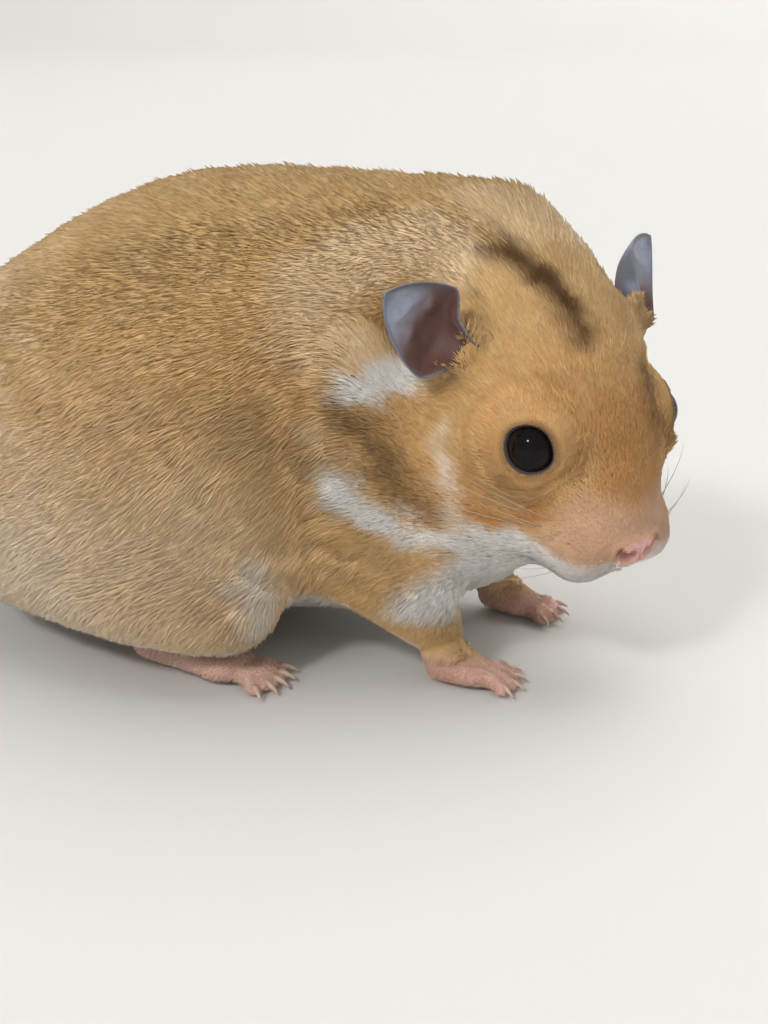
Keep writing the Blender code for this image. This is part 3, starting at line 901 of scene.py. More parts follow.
class Roots:
    """Places on the skin where tufts grow."""

    def __init__(self, hide, chosen, weights):
        corners = hide.faces[chosen]

        def mix(values):
            if values.ndim == 1:
                return (values[corners] * weights).sum(axis=1)
            return (values[corners] * weights[:, :, None]).sum(axis=1)

        self.points = mix(hide.points)
        self.normals = unit(mix(hide.normals))
        self.depth = mix(hide.depth)

    def keep(self, kept):
        for name, values in vars(self).items():
            setattr(self, name, values[kept])


MUZZLE_TIP = (23.0, 0.0, -5.0)  # the coat of the face lies away from here, in the head's frame
PARTING = 4.6  # how far from the middle of an ear the coat parts to flow round it
MOST_PARTING = 0.75


def from_ears(head):
    """How far each point is from the nearer ear's base."""
    bases = [ear_point(name, -0.1) for name in SIDES]
    return np.minimum.reduce([np.linalg.norm(head - base, axis=1) for base in bases])


def lie_of_coat(points, normals):
    """The way that the coat lies: back from the nose, round the eyes and ears, then along the body."""
    head = to_head(points)
    off_axis = np.hypot(head[:, 1], head[:, 2])
    on_head = ease(head[:, 0], -26.0, -6.0) * ease(off_axis, 34.0, 17.0)
    face_way = turned_from_head(unit(head - MUZZLE_TIP))
    sides = np.abs(normals[:, 1])
    body_way = np.stack(
        [-np.ones(len(points)), 0.05 * np.sign(points[:, 1]), -0.12 - 0.5 * sides], axis=1
    )
    leg = ease(points[:, 2], 16.0, 6.0)
    body_way += leg[:, None] * np.array([0.2, 0.0, -1.0])
    way = blend(unit(body_way), face_way, on_head)
    for side in SIDES.values():
        away = head - EYE_PLACE * (1, side, 1)
        near = ease(np.linalg.norm(away, axis=1), 8.0, 3.6) * 0.8
        way = blend(way, turned_from_head(unit(away)), near)
    way = unit(way - dot(way, normals)[:, None] * normals)
    for name in SIDES:
        out = turned_from_head(head - ear_point(name, 0.1))
        out -= dot(out, normals)[:, None] * normals
        away = np.maximum(np.linalg.norm(out, axis=1), 0.1)
        share = np.minimum(MOST_PARTING, (PARTING / away) ** 2)
        out = unit(out)
        way = unit(way - share[:, None] * (2.0 * dot(way, out)[:, None] * out - way))
    return way


def turned_in_plane(ways, normals, angles):
    across = np.cross(normals, ways)
    return ways * np.cos(angles)[:, None] + across * np.sin(angles)[:, None]


WIDEST = 0.4  # how far along a tuft its widest part is
TUFT_FACES = np.array([(0, 1, 2), (1, 3, 2), (0, 2, 3), (0, 3, 1)])
ROOT_DEPTH = 0.15  # how far inside the skin a tuft starts
ROUNDING = 0.35  # how much a tuft's shading turns out at its two edges


def tufts_of(roots, tips, ways, normals, widths, lift):
    """Closed tufts, each a bent blade that starts from a point in the skin and ends in a point.

    Returns points and shading normals, four to a tuft, and how far along and across each one is.
    """
    across = unit(np.cross(ways, normals))
    half = across * widths[:, None] * 0.5
    middle = roots + (tips - roots) * WIDEST + normals * lift[:, None]
    points = np.stack([roots - normals * ROOT_DEPTH, middle + half, middle - half, tips], axis=1)
    lean = across * ROUNDING
    shading = np.stack([normals, unit(normals + lean), unit(normals - lean), normals], axis=1)
    return points, shading, np.array([0.0, WIDEST, WIDEST, 1.0]), np.array([0.5, 0.0, 1.0, 0.5])


PATCH = 0.003  # the side of a tuft's own patch on the square map
UNWRAP_STRETCH = (1.35, 1.0, 1.0)
UNWRAP_FILL = 0.47  # of a cell, each way from its middle, so that the cells stay apart
UNWRAP_CENTRE = np.array([-2.0, 0.0, 27.0])


def unwrapped(points):
    """Each point's place on a square map of the body: six faces of a cube round its middle."""
    way = unit((points - UNWRAP_CENTRE) / UNWRAP_STRETCH)
    size = np.abs(way)
    main = size.argmax(axis=1)
    rows = np.arange(len(way))
    others = np.array([[1, 2], [0, 2], [0, 1]])[main]
    a, b = (
        np.arctan2(way[rows, other], size[rows, main]) / (math.pi / 4) for other in others.T
    )
    cell = main * 2 + (way[rows, main] > 0)
    u = (cell % 3 + 0.5 + UNWRAP_FILL * a) / 3
    v = (cell // 3 + 0.5 + UNWRAP_FILL * b) / 2
    return np.stack([u, v], axis=1)


def coat_mesh(name, roots, tufts, tone):
    """One mesh of many tufts, with their coat marks and painted shade, strands and unwrapped places."""
    points, shading, along, side = tufts
    each = points.shape[1]
    count = len(points)
    index = (TUFT_FACES[None] + (np.arange(count) * each)[:, None, None]).reshape(-1, 3)
    mesh = mesh_from(name, points.reshape(-1, 3), index)
    add_values(mesh, "markings", np.repeat(roots.markings, each, axis=0))
    add_values(mesh, "ground", np.repeat(roots.ground, each, axis=0))
    strand = np.empty((count, each, 3))
    strand[:, :, 0] = along
    strand[:, :, 1] = tone[:, None]
    strand[:, :, 2] = side
    add_values(mesh, "strand", strand.reshape(-1, 3))
    places = unwrapped(roots.points)[:, None] + PATCH * (np.stack([side, along], axis=1) - 0.5)
    layer = mesh.uv_layers.new(name="OFBake")
    layer.data.foreach_set("uv", places.reshape(-1, 2)[index.ravel()].astype(np.float32).ravel())
    mesh.normals_split_custom_set_from_vertices(shading.reshape(-1, 3).astype(np.float32))
    return mesh


TUFTS_IN_LOCK = 60
LOCK_REACH = 1.4  # the furthest that a tip may be drawn towards its lock's middle


def clumped(points, ways, tips, pull, seed):
    """Tips drawn towards the middle line of the lock that each tuft belongs to."""
    random = np.random.default_rng(seed)
    locks = max(len(points) // TUFTS_IN_LOCK, 1)
    centres = points[random.choice(len(points), locks, replace=False)]
    tree = tree_of(centres)
    nearest = np.array([tree.find(point)[1] for point in points])
    to_middle = centres[nearest] - points
    to_middle -= dot(to_middle, ways)[:, None] * ways * 0.5
    reach = np.linalg.norm(to_middle, axis=1)
    to_middle *= np.minimum(1.0, LOCK_REACH / np.maximum(reach, 1e-6))[:, None]
    return tips + to_middle * pull[:, None]


# ---------------------------------------------------------------- materials


class Value:
    """A number on a node's socket. Sums on it add Math nodes."""

    def __init__(self, graph, socket):
        self.graph = graph
        self.socket = socket

    def _math(self, operation, *values):
        return self.graph.node("ShaderNodeMath", {"operation": operation}, dict(enumerate(values)))

    def __add__(self, other):
        return self._math("ADD", self, other)

    def __sub__(self, other):
        return self._math("SUBTRACT", self, other)

    def __rsub__(self, other):
        return self._math("SUBTRACT", other, self)

    def __mul__(self, other):
        return self._math("MULTIPLY", self, other)

    def __gt__(self, other):
        return self._math("GREATER_THAN", self, other)

    __radd__ = __add__
    __rmul__ = __mul__

    def ramp(self, low, high):
        """0 at low, 1 at high and smooth between."""
        settings = {"interpolation_type": "SMOOTHSTEP"}
        return self.graph.node("ShaderNodeMapRange", settings, {0: self, 1: low, 2: high})


class Graph:
    """A material and the nodes in it."""

    def __init__(self, name):
        self.material = bpy.data.materials.new(name)
        self.material.use_nodes = True
        self.tree = self.material.node_tree
        self.tree.nodes.clear()

    def node(self, kind, settings=None, inputs=None, output=0):
        """One output of a new node, with its settings and what goes into its sockets."""
        made = self.tree.nodes.new(kind)
        for name, value in (settings or {}).items():
            setattr(made, name, value)
        for key, value in (inputs or {}).items():
            if isinstance(value, Value):
                self.tree.links.new(value.socket, made.inputs[key])
            else:
                made.inputs[key].default_value = value
        return Value(self, made.outputs[output])

    def mix(self, a, b, share):
        """A colour between two; each is a named colour or comes from another node."""
        a, b = (c if isinstance(c, Value) else (*c, 1.0) for c in (a, b))
        settings = {"data_type": "RGBA", "clamp_factor": True}
        return self.node("ShaderNodeMix", settings, {0: share, 6: a, 7: b}, 2)

    def times(self, colour, factor):
        """A colour made lighter or darker by a number."""
        grey = self.node("ShaderNodeCombineXYZ", None, {0: factor, 1: factor, 2: factor})
        return self.node("ShaderNodeVectorMath", {"operation": "MULTIPLY"}, {0: colour, 1: grey})

    def parts(self, attribute):
        """The three numbers of a vector attribute."""
        read = self.node("ShaderNodeAttribute", {"attribute_name": attribute}, None, "Vector")
        split = self.node("ShaderNodeSeparateXYZ", None, {0: read})
        outputs = split.socket.node.outputs
        return [Value(self, outputs[i]) for i in range(3)]

    def pattern(self, kind, settings, inputs):
        """A pattern that is fixed to the piece."""
        place = self.node("ShaderNodeTexCoord", None, None, "Object")
        return self.node(kind, settings, {"Vector": place, **inputs})

    def noise(self, scale, detail):
        inputs = {"Scale": scale, "Detail": detail, "Roughness": 0.55}
        return self.pattern("ShaderNodeTexNoise", None, inputs)

    def bump(self, height, strength, distance):
        inputs = {"Height": height, "Strength": strength, "Distance": distance}
        return self.node("ShaderNodeBump", None, inputs)

    def finish(self, **sockets):
        """The material, as a Principled shader with these sockets, named with _ for a space."""
        inputs = {name.replace("_", " "): value for name, value in sockets.items()}
        shader = self.node("ShaderNodeBsdfPrincipled", None, inputs)
        surface = self.tree.nodes.new("ShaderNodeOutputMaterial").inputs["Surface"]
        self.tree.links.new(shader.socket, surface)
        return self.material


class Palette:
    """The colours of some groups of settings, by name."""

    def __init__(self, *groups):
        for group in groups:
            for name in group.__annotations__:
                value = getattr(group, name)
                if hasattr(value, "__len__"):
                    setattr(self, name, tuple(value))


def coat_colour(graph, palette):
    """The coat's ground colour, from its coat marks and painted shade, before strands and ticking."""
    white, dark, orange = graph.parts("markings")
    cream, bare, dorsal = graph.parts("ground")
    patchy = graph.noise(70.0, 2.0)
    drifts = graph.noise(380.0, 2.0)
    pale = patchy.ramp(0.42, 0.7) * 0.4 + drifts.ramp(0.4, 0.7) * 0.35
    colour = graph.mix(palette.golden, palette.dorsal, dorsal * 0.85)
    colour = graph.mix(colour, palette.pale_golden, pale)
    colour = graph.mix(colour, palette.cream, cream)
    colour = graph.mix(colour, palette.orange, orange)
    # Dark coat marks, and painted shade in the shoulder fold, by the far brow and along the crown.
    colour = graph.mix(colour, palette.brown, dark)
    colour = graph.mix(colour, palette.white, white)
    return colour, white, dark, bare, dorsal


def coat_material(palette):
    graph = Graph("hamster_coat")
    colour, white, dark, bare, dorsal = coat_colour(graph, palette)
    along, tone, _ = graph.parts("strand")
    colour = graph.mix(colour, palette.pink_fur, bare * 0.75)
    ticked = (tone > 0.72) * along.ramp(0.55, 1.0) * (1.0 - white) * (1.0 - bare)
    colour = graph.mix(colour, palette.brown, ticked * (0.12 + dorsal * 0.22 + dark * 0.25))
    # Painted light: the roots are made lighter, to offset the shade that falls between the tufts.
    root_painted_light = (1.0 - along.ramp(0.0, 0.6)) * 0.3
    colour = graph.times(colour, 0.9 + tone * 0.2 + root_painted_light)
    return graph.finish(
        Base_Color=colour,
        Roughness=0.7,
        Specular_IOR_Level=0.2,
        Sheen_Weight=0.06,
        Sheen_Roughness=0.5,
    )


def skin_material(palette):
    """Short fur, and grained flesh where it is bare, with the lids, nostrils and ear cups."""
    graph = Graph("hamster_skin")
    colour, _, _, bare, _ = coat_colour(graph, palette)
    rim, moist_and_shade, cup = graph.parts("edges")
    strands = graph.noise(900.0, 4.0)
    grain = graph.noise(2600.0, 3.0)
    pores = graph.pattern("ShaderNodeTexVoronoi", {"feature": "SMOOTH_F1"}, {"Scale": 2600.0})
    # The coat's colour, streaked by strands and on the whole a little lighter: the lightening is painted
    # light that offsets the shade between the tufts.
    under = graph.times(colour, 0.86 + strands * 0.4)
    flesh = graph.mix(palette.flesh, palette.deep_flesh, moist_and_shade.ramp(0.1, 0.8))
    # Painted shade: the flesh deep in the nostrils, and faintly in the split of the lip, turned nearly
    # black.
    flesh = graph.mix(flesh, graph.times(palette.deep_flesh, 0.2), moist_and_shade.ramp(0.75, 1.0))
    flesh = graph.times(flesh, 0.86 + grain * 0.28)
    colour = graph.mix(under, flesh, bare.ramp(0.35, 0.8))
    colour = graph.mix(colour, palette.lid, rim)
    colour = graph.mix(colour, graph.times(palette.deep_flesh, 0.35 + strands * 0.4), cup)
    height = strands * (1.0 - bare) + grain * 0.6 + pores * bare * 0.6
    return graph.finish(
        Base_Color=colour, Roughness=0.62 - moist_and_shade * 0.25, Normal=graph.bump(height, 0.45, 0.00025)
    )


# ---------------------------------------------------------------- settings


def colour_property(name, description, default):
    return bpy.props.FloatVectorProperty(
        name=name, description=description, default=default, subtype="COLOR", size=3, min=0.0, max=1.0
    )


def length_property(name, description, default):
    return bpy.props.FloatProperty(
        name=name, description=description, default=default * MM, subtype="DISTANCE", unit="LENGTH", min=0.0
    )


class HAMSTER_PG_coat(bpy.types.PropertyGroup):
    golden: colour_property("Golden", "Ground colour of the flanks", (0.66, 0.415, 0.18))
    pale_golden: colour_property("Pale golden", "Lighter drifts in the golden coat", (0.78, 0.54, 0.28))
    dorsal: colour_property("Dorsal", "Colour along the back", (0.52, 0.335, 0.14))
    cream: colour_property("Cream", "Bands behind the ear and on the cheek", (0.82, 0.62, 0.39))
    orange: colour_property("Orange", "Cheeks and bridge of the nose", (0.56, 0.27, 0.09))
    # Brown also paints the shade in the shoulder fold, by the far brow and along the crown.
    brown: colour_property("Brown", "Cheek flash, crown line and ticked tips", (0.12, 0.06, 0.022))
    white: colour_property("White", "Chin, throat, crescents and belly", (0.86, 0.83, 0.78))
    pink_fur: colour_property("Muzzle fur", "Thin fur over pink skin", (0.78, 0.52, 0.45))
    width: length_property("Tuft width", "Widest part of a tuft on the body", 0.17)
    stray: bpy.props.FloatProperty(
        name="Stray",
        description="How far tufts turn out of the coat's lie, in radians",
        default=0.16,
        min=0.0,
        max=1.0,
    )
    cover: bpy.props.FloatProperty(
        name="Cover", description="How many tufts lie over each spot", default=20.0, min=1.0, max=40.0
    )


class HAMSTER_PG_skin(bpy.types.PropertyGroup):
    flesh: colour_property("Flesh", "Bare pink skin", (0.62, 0.36, 0.31))
    # A fifth of the deep flesh is the painted shade deep in the nostrils.
    deep_flesh: colour_property("Deep flesh", "Nostrils, lips and creases", (0.42, 0.16, 0.14))
    lid: colour_property("Lids", "Dark edge of the lids", (0.07, 0.055, 0.065))


class HAMSTER_PG_face(bpy.types.PropertyGroup):
    eye: colour_property("Eye", "Colour of the eyeball", (0.006, 0.004, 0.005))
    ear_outside: colour_property("Ear, outside", "Grey-blue back and edge of the ear", (0.16, 0.18, 0.24))
    ear_pale: colour_property("Ear, upper inside", "Pale grey-blue upper part", (0.30, 0.33, 0.42))
    # Painted shade: the dark band under the ear's curled upper rim.
    ear_band_shade: colour_property("Ear band", "Dark band along the ear's upper edge", (0.09, 0.085, 0.085))
    ear_inside: colour_property("Ear, inside", "Inside of the ear", (0.17, 0.09, 0.075))
    # Painted shade: the deepest part of the ear, towards the root of the cup, darkened.
    ear_canal_shade: colour_property("Ear canal", "Deepest part of the ear", (0.10, 0.035, 0.025))
    claw: colour_property("Claw", "Horn of the claws", (0.62, 0.46, 0.36))
    claw_streak: colour_property("Claw streak", "Darker streaks in the claws", (0.3, 0.18, 0.13))
    whisker: colour_property("Whisker", "Colour of the whiskers", (0.45, 0.40, 0.34))


# ---------------------------------------------------------------- ears


# Lumps and hollows in an ear's cup: height, place across, how high, how wide and how deep.
EAR_FOLDS = (
    (0.36, -0.35, 0.5, 0.16, 0.08),
    (0.42, 0.4, 0.45, 0.2, 0.06),
    (0.24, 0.05, -0.22, 0.24, 0.12),
    (0.5, 0.02, 0.25, 0.12, 0.05),
)


def ear_folds(along, across):
    """How far the inside of an ear stands out from its plain cup."""
    ridge = along - 0.62 - 0.14 * across
    fold = 0.3 * bell(ridge, 0.06) * ease(np.abs(across), 0.8, 0.3)
    for height, off, high, wide, deep in EAR_FOLDS:
        fold += high * bell(np.hypot((along - height) / deep, (across - off) / wide), 1.0)
    return fold


def ear_faces():
    """Faces round the ear from row to row, and over the strips at its root and tip."""
    around = 2 * EAR_COLUMNS + 2
    faces = ring_faces(EAR_ROWS, around)
    for start in (0, (EAR_ROWS - 1) * around):
        for i in range(EAR_COLUMNS - 1):
            outer = start + 2 * EAR_COLUMNS - i
            faces.append((start + i, start + i + 1, outer - 1, outer))
        edge = start + EAR_COLUMNS
        faces.append((edge - 1, edge, edge + 1))
    return faces


def ear_shape(side_name):
    """Points of one closed ear, and how far in, how high up and how far across each of them is."""
    shape = (EAR_ROWS, EAR_COLUMNS)
    spaced = 1.0 - (1.0 - np.linspace(0, 1, EAR_ROWS)) ** 1.5
    along = np.repeat(-EAR_BURIED + (EAR_END + EAR_BURIED) * spaced, EAR_COLUMNS)
    across = np.tile(np.linspace(-1, 1, EAR_COLUMNS), EAR_ROWS)
    middle = ear_middle(side_name, along, across).reshape(*shape, 3)
    along, across = along.reshape(shape), across.reshape(shape)
    over = np.gradient(middle, axis=1)
    normals = unit(np.cross(np.gradient(middle, axis=0), over))
    opening = unit(EAR_OPENING_WAY * (1, SIDES[side_name], 1))
    normals *= np.sign((normals * opening).sum(axis=2).mean())
    thick = EAR_WALL * (0.75 + 0.5 * ease(along, 0.5, -0.2)) * (1.0 - 0.35 * np.abs(across) ** 3)
    inner = middle + normals * (thick * 0.5 + ear_folds(along, across))[:, :, None]
    outer = middle - normals * (thick * 0.5)[:, :, None]
    low = middle[:, :1] - unit(over[:, :1]) * thick[:, :1, None] * EAR_RIM
    high = middle[:, -1:] + unit(over[:, -1:]) * thick[:, -1:, None] * EAR_RIM

    def looped(inside, high_edge, outside, low_edge):
        return np.concatenate([inside, high_edge, outside[:, ::-1], low_edge], axis=1)

    half = np.full((EAR_ROWS, 1), 0.5)
    points = looped(inner, high, outer, low).reshape(-1, 3)
    places = (
        looped(np.ones(shape), half, np.zeros(shape), half),
        looped(along, along[:, -1:], along, along[:, :1]),
        looped(across, across[:, -1:], across, across[:, :1]),
    )
    return from_head(points), np.stack([place.ravel() for place in places], axis=1)


def ear_mesh(side_name):
    points, places = ear_shape(side_name)
    mesh = bpy.data.meshes.new(f"ear_skin_{side_name}")
    mesh.from_pydata(((points + ANIMAL_ORIGIN) * MM).tolist(), [], ear_faces())
    add_values(mesh, "ear", places)
    close_outwards(mesh)
    mesh.shade_smooth()
    return mesh


def close_outwards(mesh):
    """Close what is open at an end and turn every face outwards."""
    bm = bmesh.new()
    bm.from_mesh(mesh)
    bmesh.ops.remove_doubles(bm, verts=bm.verts, dist=MERGE_METRES)
    bmesh.ops.holes_fill(bm, edges=[e for e in bm.edges if e.is_boundary], sides=0)
    bmesh.ops.triangulate(bm, faces=bm.faces)
    bmesh.ops.recalc_face_normals(bm, faces=bm.faces)
    bm.to_mesh(mesh)
    bm.free()


def ear_material(face):
    graph = Graph("hamster_ear")
    inside, height, off = graph.parts("ear")
    mottle = graph.noise(900.0, 4.0)
    fine = graph.noise(4200.0, 3.0)
    in_cup = inside.ramp(0.4, 0.8)
    edge = ((off * off).ramp(0.62, 1.0) + height.ramp(0.8, 0.98)).ramp(0.0, 1.0)
    upper = in_cup * height.ramp(0.3, 0.6) * (1.0 - edge)
    lower = in_cup * (1.0 - height.ramp(0.25, 0.75)) * (1.0 - edge * 0.6)
    # Painted shade: 1 towards the root inside the cup, where the canal lies deep.
    deep = (1.0 - height.ramp(0.2, 0.6)) * inside
    # Painted shade: a dark band along the upper edge of the cup, under the curled rim.
    band = (0.0 - off).ramp(0.5, 0.95) * in_cup * height.ramp(0.1, 0.4)
    colour = graph.mix(face.ear_outside, face.ear_pale, upper)
    colour = graph.mix(colour, face.ear_inside, lower)
    colour = graph.mix(colour, face.ear_canal_shade, deep.ramp(0.35, 1.0) * 0.8)
    colour = graph.mix(colour, face.ear_band_shade, band * 0.8)
    colour = graph.times(colour, 0.72 + mottle * 0.56)
    relief = graph.bump(mottle * 0.5 + fine * 0.5, 0.35, 0.0002)
    return graph.finish(Base_Color=colour, Roughness=0.55, Normal=relief, Sheen_Weight=0.15)


# ---------------------------------------------------------------- what repeats


def instanced(name, shape, places, ways, towards, sizes, material):
    """A Geometry Nodes tree that sets one shape on each place, turned and sized, as a plain mesh.

    The shape's +Z goes the place's own way, and its +X as nearly as it can the one way given.
    """
    base = mesh_from(name + "_places", np.asarray(places, float), np.zeros((0, 3), np.int32))
    towards = Vector(towards)
    turns = []
    for way in ways:
        z = Vector(way).normalized()
        x = (towards - towards.dot(z) * z).normalized()
        turns.append(Matrix((x, z.cross(x), z)).transposed().to_euler())
    add_values(base, "turn", np.array(turns))
    add_values(base, "size", np.asarray(sizes, float))
    holder = object_from(name, base)
    pattern = object_from(name + "_shape", shape)

    tree = bpy.data.node_groups.new(name, "GeometryNodeTree")
    sockets = tree.interface
    sockets.new_socket("Geometry", in_out="INPUT", socket_type="NodeSocketGeometry")
    pick = sockets.new_socket("Shape", in_out="INPUT", socket_type="NodeSocketObject")
    scale = sockets.new_socket("Size", in_out="INPUT", socket_type="NodeSocketFloat")
    sockets.new_socket("Geometry", in_out="OUTPUT", socket_type="NodeSocketGeometry")
    kinds = {
        "start": "NodeGroupInput",
        "end": "NodeGroupOutput",
        "info": "GeometryNodeObjectInfo",
        "turn": "GeometryNodeInputNamedAttribute",
        "size": "GeometryNodeInputNamedAttribute",
        "scaled": "ShaderNodeVectorMath",
        "set": "GeometryNodeInstanceOnPoints",
        "real": "GeometryNodeRealizeInstances",
        "finish": "GeometryNodeSetMaterial",
    }
    nodes = {key: tree.nodes.new(kind) for key, kind in kinds.items()}
    for key in ("turn", "size"):
        nodes[key].data_type = "FLOAT_VECTOR"
        nodes[key].inputs["Name"].default_value = key
    nodes["scaled"].operation = "SCALE"
    nodes["finish"].inputs["Material"].default_value = material
    for source, output, target, socket in (
        ("start", "Geometry", "set", "Points"),
        ("start", "Shape", "info", "Object"),
        ("info", "Geometry", "set", "Instance"),
        ("turn", "Attribute", "set", "Rotation"),
        ("size", "Attribute", "scaled", 0),
        ("start", "Size", "scaled", "Scale"),
        ("scaled", "Vector", "set", "Scale"),
        ("set", "Instances", "real", "Geometry"),
        ("real", "Geometry", "finish", "Geometry"),
        ("finish", "Geometry", "end", "Geometry"),
    ):
        outputs = {o.name: o for o in nodes[source].outputs if o.enabled}
        tree.links.new(outputs[output], nodes[target].inputs[socket])
    modifier = holder.modifiers.new(name, "NODES")
    modifier.node_group = tree
    modifier[pick.identifier] = pattern
    modifier[scale.identifier] = 1.0
    graph = bpy.context.evaluated_depsgraph_get()
    made = bpy.data.meshes.new_from_object(holder.evaluated_get(graph))
    holder.modifiers.clear()
    holder.data = made
    made.materials.clear()
    made.materials.append(material)
    made.shade_smooth()
    bpy.data.objects.remove(pattern)
    return holder


def horn(name, rings, sides):
    """A closed tapering horn along +Z, curved towards +X: each ring is (z, x, radius), in mm."""
    points = []
    for z, x, radius in rings[:-1]:
        for i in range(sides):
            angle = 2 * math.pi * i / sides
            points.append((x + radius * math.cos(angle), radius * math.sin(angle), z))
    z, x, _ = rings[-1]
    points.append((x, 0.0, z))
    tip = len(points) - 1
    last = tip - sides
    faces = [tuple(reversed(range(sides)))] + ring_faces(len(rings) - 1, sides)
    faces += [(last + i, last + (i + 1) % sides, tip) for i in range(sides)]
    mesh = bpy.data.meshes.new(name)
    mesh.from_pydata([(x * MM, y * MM, z * MM) for x, y, z in points], [], faces)
    mesh.shade_smooth()
    return mesh


# ---------------------------------------------------------------- making the skin


class HAMSTER_OT_skin(bpy.types.Operator):
    """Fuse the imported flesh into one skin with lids, nostrils and mouth"""

    bl_idname = "hamster.skin"
    bl_label = "Skin"

    def execute(self, context):
        points, faces, depth = skin_form()
        normals = point_normals(points, faces)
        head = to_head(points)
        marks, ground = markings(points + normals * depth[:, None], normals)
        cup = 1.0 - EAR_ROOM.near(points, 1.2, 2.6)
        mesh = mesh_from("hamster_skin", points, faces)
        add_values(mesh, "markings", marks)
        add_values(mesh, "ground", ground)
        rim = round_lids(head, 0.9, 0.1)
        add_values(mesh, "edges", np.stack([rim, moist_and_shaded_places(head), cup], axis=1))
        add_values(mesh, "depth", depth)
        palette = Palette(context.scene.hamster_coat, context.scene.hamster_skin)
        obj = object_from("hamster_skin", mesh, skin_material(palette))
        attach(obj, "root")
        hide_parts(*BODY_NODES, *PAW_NODES)
        return {"FINISHED"}


# ---------------------------------------------------------------- growing the coat

PIECE_FACES = 186000  # the most triangles in one coat piece
PAW_TOP = 4.5
BELLY_TOP = 20
BACK_HEIGHT = 42
RUMP_FRONT = -24


class HAMSTER_OT_coat(bpy.types.Operator):
    """Grow the coat on the skin, as tufts that lie back along the body"""

    bl_idname = "hamster.coat"
    bl_label = "Coat"

    def execute(self, context):
        hide = Hide()
        settings = context.scene.hamster_coat
        material = coat_material(Palette(settings))
        zones = coat_zones(hide.at_faces(hide.points), hide.at_faces(hide.normals))
        for seed, (name, chosen) in enumerate(zones.items(), start=1):
            grow(hide, name, chosen, seed, settings, material)
        return {"FINISHED"}


def coat_zones(points, normals):
    """Each coat piece's name and the places that it grows on. No place is in two of them."""
    head = to_head(points)
    on_head = headness(head) > 0.5
    front = head[:, 0] > 0
    left_of_head = head[:, 1] > 0
    paws = ~on_head & (points[:, 2] <= PAW_TOP)
    body = ~on_head & ~paws
    belly = body & (normals[:, 2] < -0.3) & (points[:, 2] < BELLY_TOP)
    rump = body & ~belly & (points[:, 0] < RUMP_FRONT)
    back = body & ~belly & ~rump & (points[:, 2] >= BACK_HEIGHT)
    flank = body & ~belly & ~rump & ~back
    left = points[:, 1] > 0
    return {
        "coat_face_left": on_head & front & left_of_head,
        "coat_face_right": on_head & front & ~left_of_head,
        "coat_cheek_left": on_head & ~front & left_of_head,
        "coat_cheek_right": on_head & ~front & ~left_of_head,
        "coat_rump": rump,
        "coat_flank_left": flank & left,
        "coat_flank_right": flank & ~left,
        "coat_back": back,
        "coat_belly": belly,
        "coat_paws": paws,
    }


HIDDEN_SHARES = {"coat_belly": 0.22, "coat_paws": 0.17}  # of the full cover, where little shows
BALD_ROUND_NOSE = 2.55
BALD_ROUND_LIDS = 0.24
LOWEST_ROOT = 0.9
LOWEST_TIP = 0.3
LEAST_ROOM = 0.2  # of the room that the ears leave, for a tuft to grow at all


def planted(hide, name, chosen, seed, settings):
    """The roots of one coat piece, and how much room the ears leave at each."""
    depth = hide.at_faces(hide.depth)
    bare = hide.at_faces(hide.ground)[:, 1]
    cover = settings.cover * HIDDEN_SHARES.get(name, 1.0) * rising(0.45, ease(depth, 0.8, 2.2))
    cover *= 1.0 - 0.7 * ease(bare, 0.6, 0.95)
    density = chosen * cover / (tuft_length(depth) * tuft_width(depth, settings.width / MM))
    density *= min(1.0, PIECE_FACES / (len(TUFT_FACES) * (density * hide.areas).sum()))
    roots = hide.sow(density, seed)
    head = to_head(roots.points)
    room = EAR_ROOM.near(roots.points + roots.normals, 0.9, 2.6)
    kept = (round_eyes(head)[1] >= BALD_ROUND_LIDS) & (roots.points[:, 2] > LOWEST_ROOT)
    kept &= (from_nose(head) > BALD_ROUND_NOSE) & (room > LEAST_ROOM)
    roots.keep(kept)
    return roots, room[kept]


LENGTHS = (0.75, 1.1)  # the least and the most, as shares of the length for the coat's depth
RISES = (0.7, 0.98)  # how high the tips stand, as shares of the coat's depth
WIDTHS = (0.75, 1.25)
STEEPEST = 0.75  # the most that a tuft may rise for its length
LOOSE_SHARE = 0.04  # of the tufts, which stand higher and are thinner than the rest
LOOSE_RISE = 1.14
LOOSE_WIDTH = 0.6
MOST_PULL = 0.14  # towards the middle of a lock


